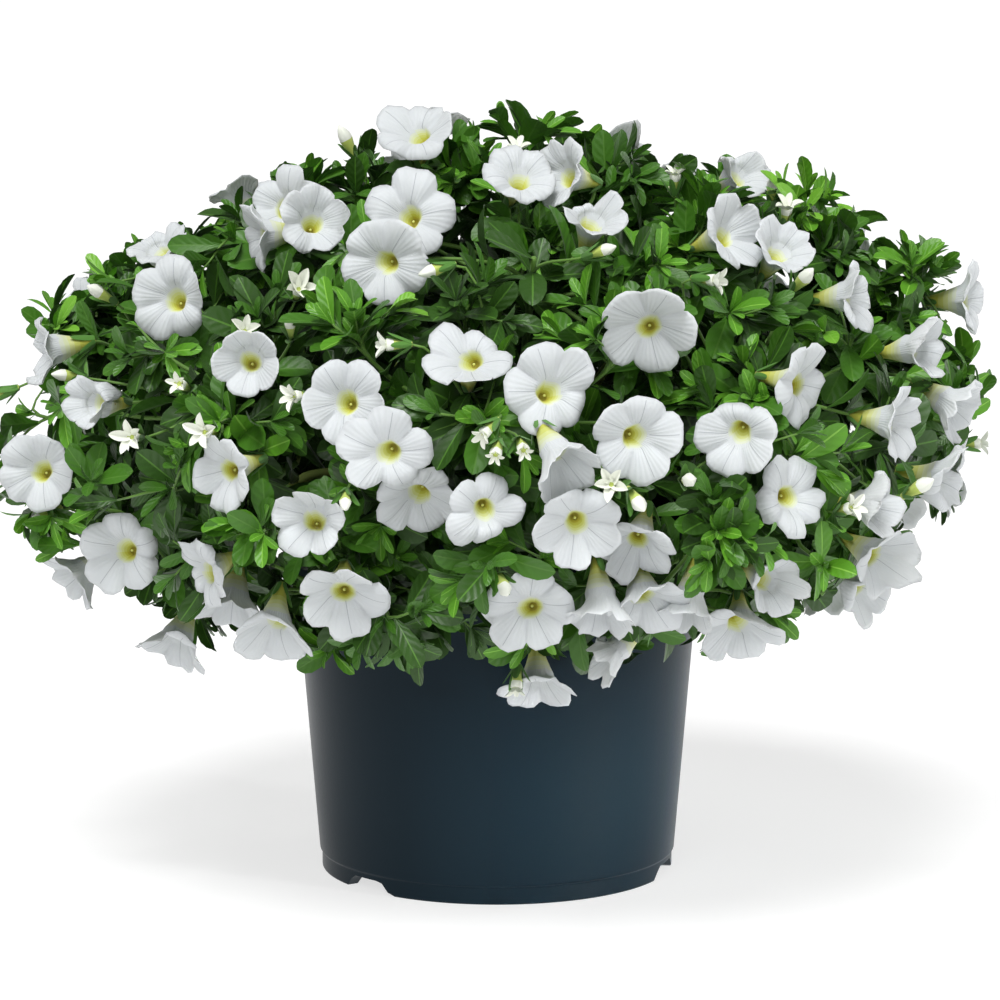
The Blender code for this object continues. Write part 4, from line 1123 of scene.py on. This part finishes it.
def corollas(group, key):
    # By ring s (0 where the limb starts, 1 at the rim) and place u across a lobe (0 at its vein, 1
    # at the notches): the radius loses notch * |u|^power and a dent at the vein, and one side of
    # the limb is longer. The height gains a puff between veins, a valley at the notches, a groove
    # on the vein, waves round the rim, each lobe's tilt, the limb's saddle, a cup that is deeper
    # where the face hangs down, and in some blooms one side that folds over.
    rng = draws(40, key)
    n, lobes, perLobe = len(group["size"]), bloom["lobes"], len(bloom["across"])
    rings = np.array(bloom["front"] + bloom["back"], float)
    total, width, frontRings = len(rings), lobes * perLobe, len(bloom["front"])
    ringRadii = rings[:, :1]
    s = np.interp(ringRadii, bloom["limb"], (0.0, 1.0))
    u = np.tile(bloom["across"], lobes) * np.ones_like(s)
    atVein = np.sign(u) * bloom["veinHalf"] / np.maximum(ringRadii, 4.0) * lobes / math.pi
    u = np.where(np.abs(u) < 0.05, atVein, u)
    lobe = np.repeat(np.arange(lobes), perLobe)
    angles = math.tau / lobes * (lobe + u / 2)

    phase = rng.uniform(0.0, math.tau, (n, 1, 1))
    lengths = rng.uniform(*bloom["lobeLengths"], (n, lobes))[:, lobe][:, None]
    lengths = lengths + bloom["uneven"] * np.cos(angles - 5 * phase)
    notch = bloom["notch"] * rng.uniform(*bloom["notches"], (n, 1, 1))
    notch = notch * np.abs(u) ** bloom["notchPower"]
    notch = notch + bloom["dent"] * bell(u, 0.0, bloom["dentWidth"])
    (five, *fiveAt), (oval, *ovalAt) = bloom["mouth"]
    mouth = 1 + five * np.cos(lobes * angles) * bell(ringRadii, *fiveAt)
    mouth = mouth + oval * np.cos(2 * angles + phase) * bell(ringRadii, *ovalAt)
    radii = ringRadii * mouth * (1 - notch * s**1.5) * (1 + (lengths - 1) * s**2)

    tilt = rng.normal(0.0, bloom["lobeTilt"], (n, lobes))[:, lobe][:, None]
    turns = rng.integers(*bloom["waveTurns"], n)[:, None, None]
    wave = bloom["wave"] * rng.uniform(*bloom["waveSizes"], (n, 1, 1))
    wave = wave * np.sin(turns * angles + phase) * s**2
    amount, turns = bloom["fine"]
    fine = amount * np.sin(turns * angles + 2 * phase) * s**3
    saddle = bloom["saddle"] * rng.uniform(-1.0, 1.0, (n, 1, 1))
    saddle = saddle * np.cos(2 * angles + 3 * phase) * s**2
    folded = (rng.uniform(0.0, 1.0, n) < bloom["folded"]) * rng.choice(bloom["foldWays"], n)
    small, more = bloom["foldMore"]
    folded = (folded * np.where(group["size"] < small, more, 1.0))[:, None, None]
    folding = folded * np.clip(np.cos(angles - 7 * phase), 0.0, 1.0) ** 3 * s**2
    cups = rng.uniform(*bloom["cup"], n)
    cups = cups + bloom["droopCup"] * (group["axis"][:, 2] < bloom["droopBelow"])
    size = group["size"][:, None, None]
    closing = np.clip(bloom["openSize"] - size, 0.0, bloom["funnelMost"])
    cups = cups[:, None, None] + bloom["funnel"] * closing
    amount, reach = bloom["puff"]
    heights = rings[:, 1:2] + amount * (1 - u**2) * np.sin(math.pi * s * reach)
    amount, lower = bloom["valley"]
    heights = heights - amount * np.abs(u) ** 4 * np.sqrt(s) * (1 - lower * s)
    amount, wide, lower = bloom["groove"]
    heights = heights - amount * bell(u, 0.0, wide) * np.sqrt(s) * (1 - lower * s)
    heights = heights + wave + fine + saddle + tilt * s**2 * (1 - 0.5 * u**2) + cups * s**1.5
    heights = heights + bloom["fold"] * folding
    radii = radii * (1 - bloom["foldShort"] * np.abs(folding))

    # the limb takes the bloom's size and the throat about half of it, with a seam's width over mm
    throat = bloom["throatSize"] + (1 - bloom["throatSize"]) * size
    limb = np.where(ringRadii > bloom["limbFrom"], size, throat) * bloom["seam"]
    axes, firsts, ways = group["axis"], spunSides(group), leanWays(group)
    points = turned(group["throat"], axes, firsts, angles, radii * limb, heights * 0.001)
    aside = leanShare(rings[:, 1]) * (np.arange(total) < frontRings) * bloom["lean"] * 0.001
    points = points + ways[:, None, None] * aside[:, None, None]

    middle = angles[0] + math.pi / width
    onFirst, onSecond = (ways * firsts).sum(-1), (ways * np.cross(axes, firsts)).sum(-1)
    towards = onFirst[:, None] * np.cos(middle) + onSecond[:, None] * np.sin(middle)
    here = np.arange(total - 1)[:, None]
    later = np.rint(bloom["pale"] * (0.5 - 0.5 * towards))[:, None] * (here < bloom["paleRings"])
    finish = rings[:, 2].astype(int)[np.clip(here + later.astype(int), 0, total - 2)]
    start, end = bloom["veins"]
    vein = (np.arange(width) % perLobe == 4) & (ringRadii[:-1] > start) & (ringRadii[:-1] < end)
    finish = np.where(vein & (here < frontRings - 1), 1, finish).reshape(n, -1)
    uv = np.stack((u * 1.4, np.repeat(ringRadii / 18.0, width, axis=1)), axis=-1)
    return closedTube(points, finish, np.array((8, 6)), uv.reshape(-1, 2))


def stigmas(group):
    # a small pale knob low in each throat
    radii, heights = np.array(bloom["stigma"]).T[:, None, :, None] * 0.001
    middles = group["throat"] + leanWays(group) * leanShare(-5.0) * bloom["lean"] * 0.001
    axes = group["axis"]
    angle = roundAngles(bloom["stigmaSides"])
    return closedTube(turned(middles, axes, sideways(axes), angle, radii, heights), 9, 9)


def makeBlooms():
    for key, (label, seen) in enumerate((("front", True), ("back", False))):
        group = chosen(blooms, blooms["seen"] == seen)
        joinedMesh("blooms_" + label, petalFinishes,
                   [corollas(group, key), stigmas(group)])


makeBlooms()


print("buds and sepals")

# what sepals and the petals of opening buds share
bract = {"tiltStray": 11.0, "lengths": (0.88, 1.10), "bend": -0.10, "droop": (0.0, 0.12)}
sepal = {
    "count": 5, "length": 0.0098, "width": 0.29, "tilt": 21.0, "cup": 0.25, "turn": 36.0,
    "halves": (0.80, 0.95, 1.0, 0.92, 0.74, 0.45, 0.12),
    # below the throat, and out from the axis, on a bloom, a closed bud and a star
    "places": ((0.0184, 0.0022), (0.01184, 0.0011), (0.0104, 0.0013)),
}
bud = {
    "hidden": 30, "heights": (1.0, -0.7), "levels": (0.985, 0.99),  # of those seen and of the rest
    "scatter": 0.4, "starShare": 0.4, "openings": (0.5, 1.0),
    "stalk": 0.010, "stalkThinner": 0.8, "length": 0.0160, "radius": 0.0025, "sides": 15,
    "foot": 0.75, "sizes": (0.8, 1.15),  # how much of its length is below the bloom's throat
    "girths": (0.42, 0.52, 0.62, 0.72, 0.88, 1.0, 0.92, 0.62, 0.16), "limeRows": 5,
    "folds": 5, "foldDepth": 0.13, "foldTwist": 5.0, "foldFrom": (0.3, 0.8),
}
# an opening bud: radius and height of its tube's rings in mm and their finish, then its petals
star = {
    "tube": ((1.2, -10.5, 3), (1.4, -8.4, 3), (1.7, -6.0, 3), (2.1, -3.4, 2), (2.3, -1.2, 2),
             (1.8, -0.6, 3), (0.9, -1.4, 3)),
    "sides": 10, "ripple": 0.08,
    "count": 5, "length": 0.0076, "width": 0.50, "tilt": 44.0, "cup": 0.55, "turn": 0.0,
    "halves": (0.55, 0.75, 0.95, 1.0, 0.80, 0.50, 0.22), "below": 0.0014, "out": 0.0011,
}


def growBuds():
    # buds seen go where the line of sight meets the dome, the rest on even ways round the back
    planned = []
    for across, down, turn, lift, opening in budsSeen:
        point, sight = seenAt(across, down, bud["levels"][0])
        planned.append((point, facing(turn, lift), opening))
    rng = draws(60)
    for point, axis in scattered(bud["hidden"], bud["heights"], 61, bud["levels"][1],
                                 bud["scatter"], rng):
        opening = (rng.uniform() < bud["starShare"]) * rng.uniform(*bud["openings"])
        if point[1] > 0.0:
            planned.append((point, axis, opening))
    buds = []
    for n, (point, axis, opening) in enumerate(planned):
        rng = draws(62, n)
        buds.append({
            "throat": point, "axis": axis, "opening": opening,
            **shootTo(point, point - axis * bud["stalk"], axis, rng),
            "spin": rng.uniform(0.0, 72.0),
        })
    return table(buds)


def bladesRound(group, below, out, form, length, rng):
    # blades of one form set evenly round each axis, a little out from it and tilted off it
    axes, count, stray = group["axis"][:, None], form["count"], bract["tiltStray"]
    radial = spunSides(group, form["turn"])[:, None]
    radial = turnAbout(radial, axes, np.arange(count) * 360.0 / count)
    angle = np.radians(form["tilt"] + rng.uniform(-stray, stray, radial.shape[:2]))[..., None]
    way = unit(axes * np.cos(angle) + radial * np.sin(angle))
    total = way[..., 0].size
    lengths = np.repeat(length + np.zeros(len(axes)), count) * rng.uniform(*bract["lengths"], total)
    base = (group["throat"] - group["axis"] * below)[:, None] + radial * out
    return blades({
        "base": base.reshape(-1, 3), "way": way.reshape(-1, 3),
        "face": unit(squareTo(axes, way)).reshape(-1, 3), "length": lengths,
        "width": lengths * form["width"], "bend": np.full(total, bract["bend"]),
        "droop": rng.uniform(*bract["droop"], total),
    }, form["halves"], form["cup"])


def makeBuds():
    # closed buds: a spindle whose folds twist with height; opening ones: a narrow tube under a
    # star of pointed petals; sepals round the foot of these and of each bloom
    rng = draws(63)
    buds = growBuds()
    closed, stars = chosen(buds, buds["opening"] == 0), chosen(buds, buds["opening"] > 0)
    quads = gridFaces(len(leaf["rows"]), 4, False)

    rows, sides = len(bud["girths"]), bud["sides"]
    t = np.linspace(0.0, 1.0, rows)[:, None]
    twist = np.sin(bud["folds"] * roundAngles(sides) + bud["foldTwist"] * t)
    folds = 1 + bud["foldDepth"] * twist * np.interp(t, bud["foldFrom"], (0.0, 1.0))
    sizes = rng.uniform(*bud["sizes"], len(closed["spin"]))[:, None, None]
    radii = bud["radius"] * np.array(bud["girths"])[:, None] * folds * sizes
    axes = closed["axis"]
    points = turned(closed["throat"], axes, sideways(axes), roundAngles(sides), radii,
                    bud["length"] * (t - bud["foot"]) * sizes)
    finish = np.repeat(np.where(np.arange(rows - 1) < bud["limeRows"], 3, 2), sides)
    shapes = [closedTube(points, finish, np.array((3, 2)))]

    rings, sides = np.array(star["tube"]), star["sides"]
    radii = rings[:, :1] * 0.001 * (1 + star["ripple"] * np.cos(star["count"] * roundAngles(sides)))
    points = turned(stars["throat"], stars["axis"], spunSides(stars), roundAngles(sides),
                    radii[None], rings[None, :, 1:2] * 0.001)
    shapes.append(closedTube(points, np.repeat(rings[:-1, 2].astype(int), sides), 3))
    lengths = star["length"] * stars["opening"]
    petals = bladesRound(stars, star["below"], star["out"], star, lengths, rng)
    shapes.append((petals, [(quads, 2)], None))

    green = [
        bladesRound(group, below, out, sepal, sepal["length"], rng)
        for group, (below, out) in zip((blooms, closed, stars), sepal["places"])
    ]
    shapes.append((np.concatenate(green), [(quads[:, ::-1], 1)], None))
    radii = spread(shoot["bloomRadii"], buds["path"].shape[1])[:, None] * bud["stalkThinner"]
    shapes.append(tubes(buds["path"], radii, 5))
    joinedMesh("buds_and_sepals", greenFinishes, shapes)


makeBuds()


print("studio")

studio = {
    "floor": "#a8a8a8", "floorGlow": 0.68, "floorSize": 60.0, "world": 0.19,
    "sun": 2.9, "sunAngle": 26.0, "sunLift": 63.0, "sunTurn": -14.0,
    # name, place, height aimed at, width and height, watts, spread in degrees
    "boxes": (
        ("box front", (-0.4, -2.0, 1.3), 0.26, (1.0, 1.0), 15.0, 180.0),
        ("box right", (1.7, -1.0, 0.55), 0.16, (1.2, 1.2), 8.0, 180.0),
        ("gridded box low right", (0.85, -0.50, 0.10), 0.035, (0.4, 0.05), 0.14, 9.0),
        ("strip far right", (1.5, 0.75, 0.4), 0.16, (0.4, 1.4), 8.0, 180.0),
        ("strip left", (-1.7, 0.95, 0.4), 0.16, (0.4, 1.4), 1.0, 180.0),
    ),
    "sensor": 36.0,
}


def makeStudio():
    mesh = bpy.data.meshes.new("studio_floor")
    half = studio["floorSize"] / 2
    corners = ((-half, -half, 0), (half, -half, 0), (half, half, 0), (-half, half, 0))
    mesh.from_pydata(corners, [], [(0, 1, 2, 3)])
    floor = intoScene("studio_floor", mesh)
    paper, shader = newMaterial("studio paper lit from below", studio["floor"], {
        "Roughness": 0.9, "Specular IOR Level": 0.1, "Emission Color": linear("#ffffff"),
        "Emission Strength": studio["floorGlow"],
    })
    mesh.materials.append(paper)

    world = bpy.data.worlds.new("studio")
    bpy.context.scene.world = world
    world.use_nodes = True
    backdrop = world.node_tree.nodes["Background"]
    backdrop.inputs["Color"].default_value = linear("#ffffff")
    backdrop.inputs["Strength"].default_value = studio["world"]

    data = bpy.data.lights.new("soft light above", "SUN")
    data.energy = studio["sun"]
    data.angle = math.radians(studio["sunAngle"])
    turns = (90.0 - studio["sunLift"], 0.0, studio["sunTurn"])
    intoScene("soft light above", data).rotation_euler = np.radians(turns)
    for name, where, aimedAt, size, power, spreadDeg in studio["boxes"]:
        data = bpy.data.lights.new(name, "AREA")
        data.shape = "RECTANGLE"
        data.size, data.size_y = size
        data.energy = power
        data.spread = math.radians(spreadDeg)
        light = intoScene(name, data)
        light.location = where
        x, y, z = np.array((0.0, 0.0, aimedAt)) - where
        tip, turn = math.atan2(math.hypot(x, y), -z), math.atan2(y, x) - math.pi / 2
        light.rotation_euler = (tip, 0.0, turn)

    data = bpy.data.cameras.new("photo camera")
    data.sensor_width = studio["sensor"]
    data.lens = view["focal"] / view["width"] * studio["sensor"]
    data.shift_x = 0.5 - view["centre"][0] / view["width"]
    data.clip_start, data.clip_end = 0.05, studio["floorSize"]
    camera = intoScene("photo camera", data)
    camera.location = eye
    camera.rotation_euler = (math.radians(90.0 - view["pitch"]), 0.0, 0.0)
    bpy.context.scene.camera = camera
    bpy.context.scene.view_settings.view_transform = "Standard"


makeStudio()
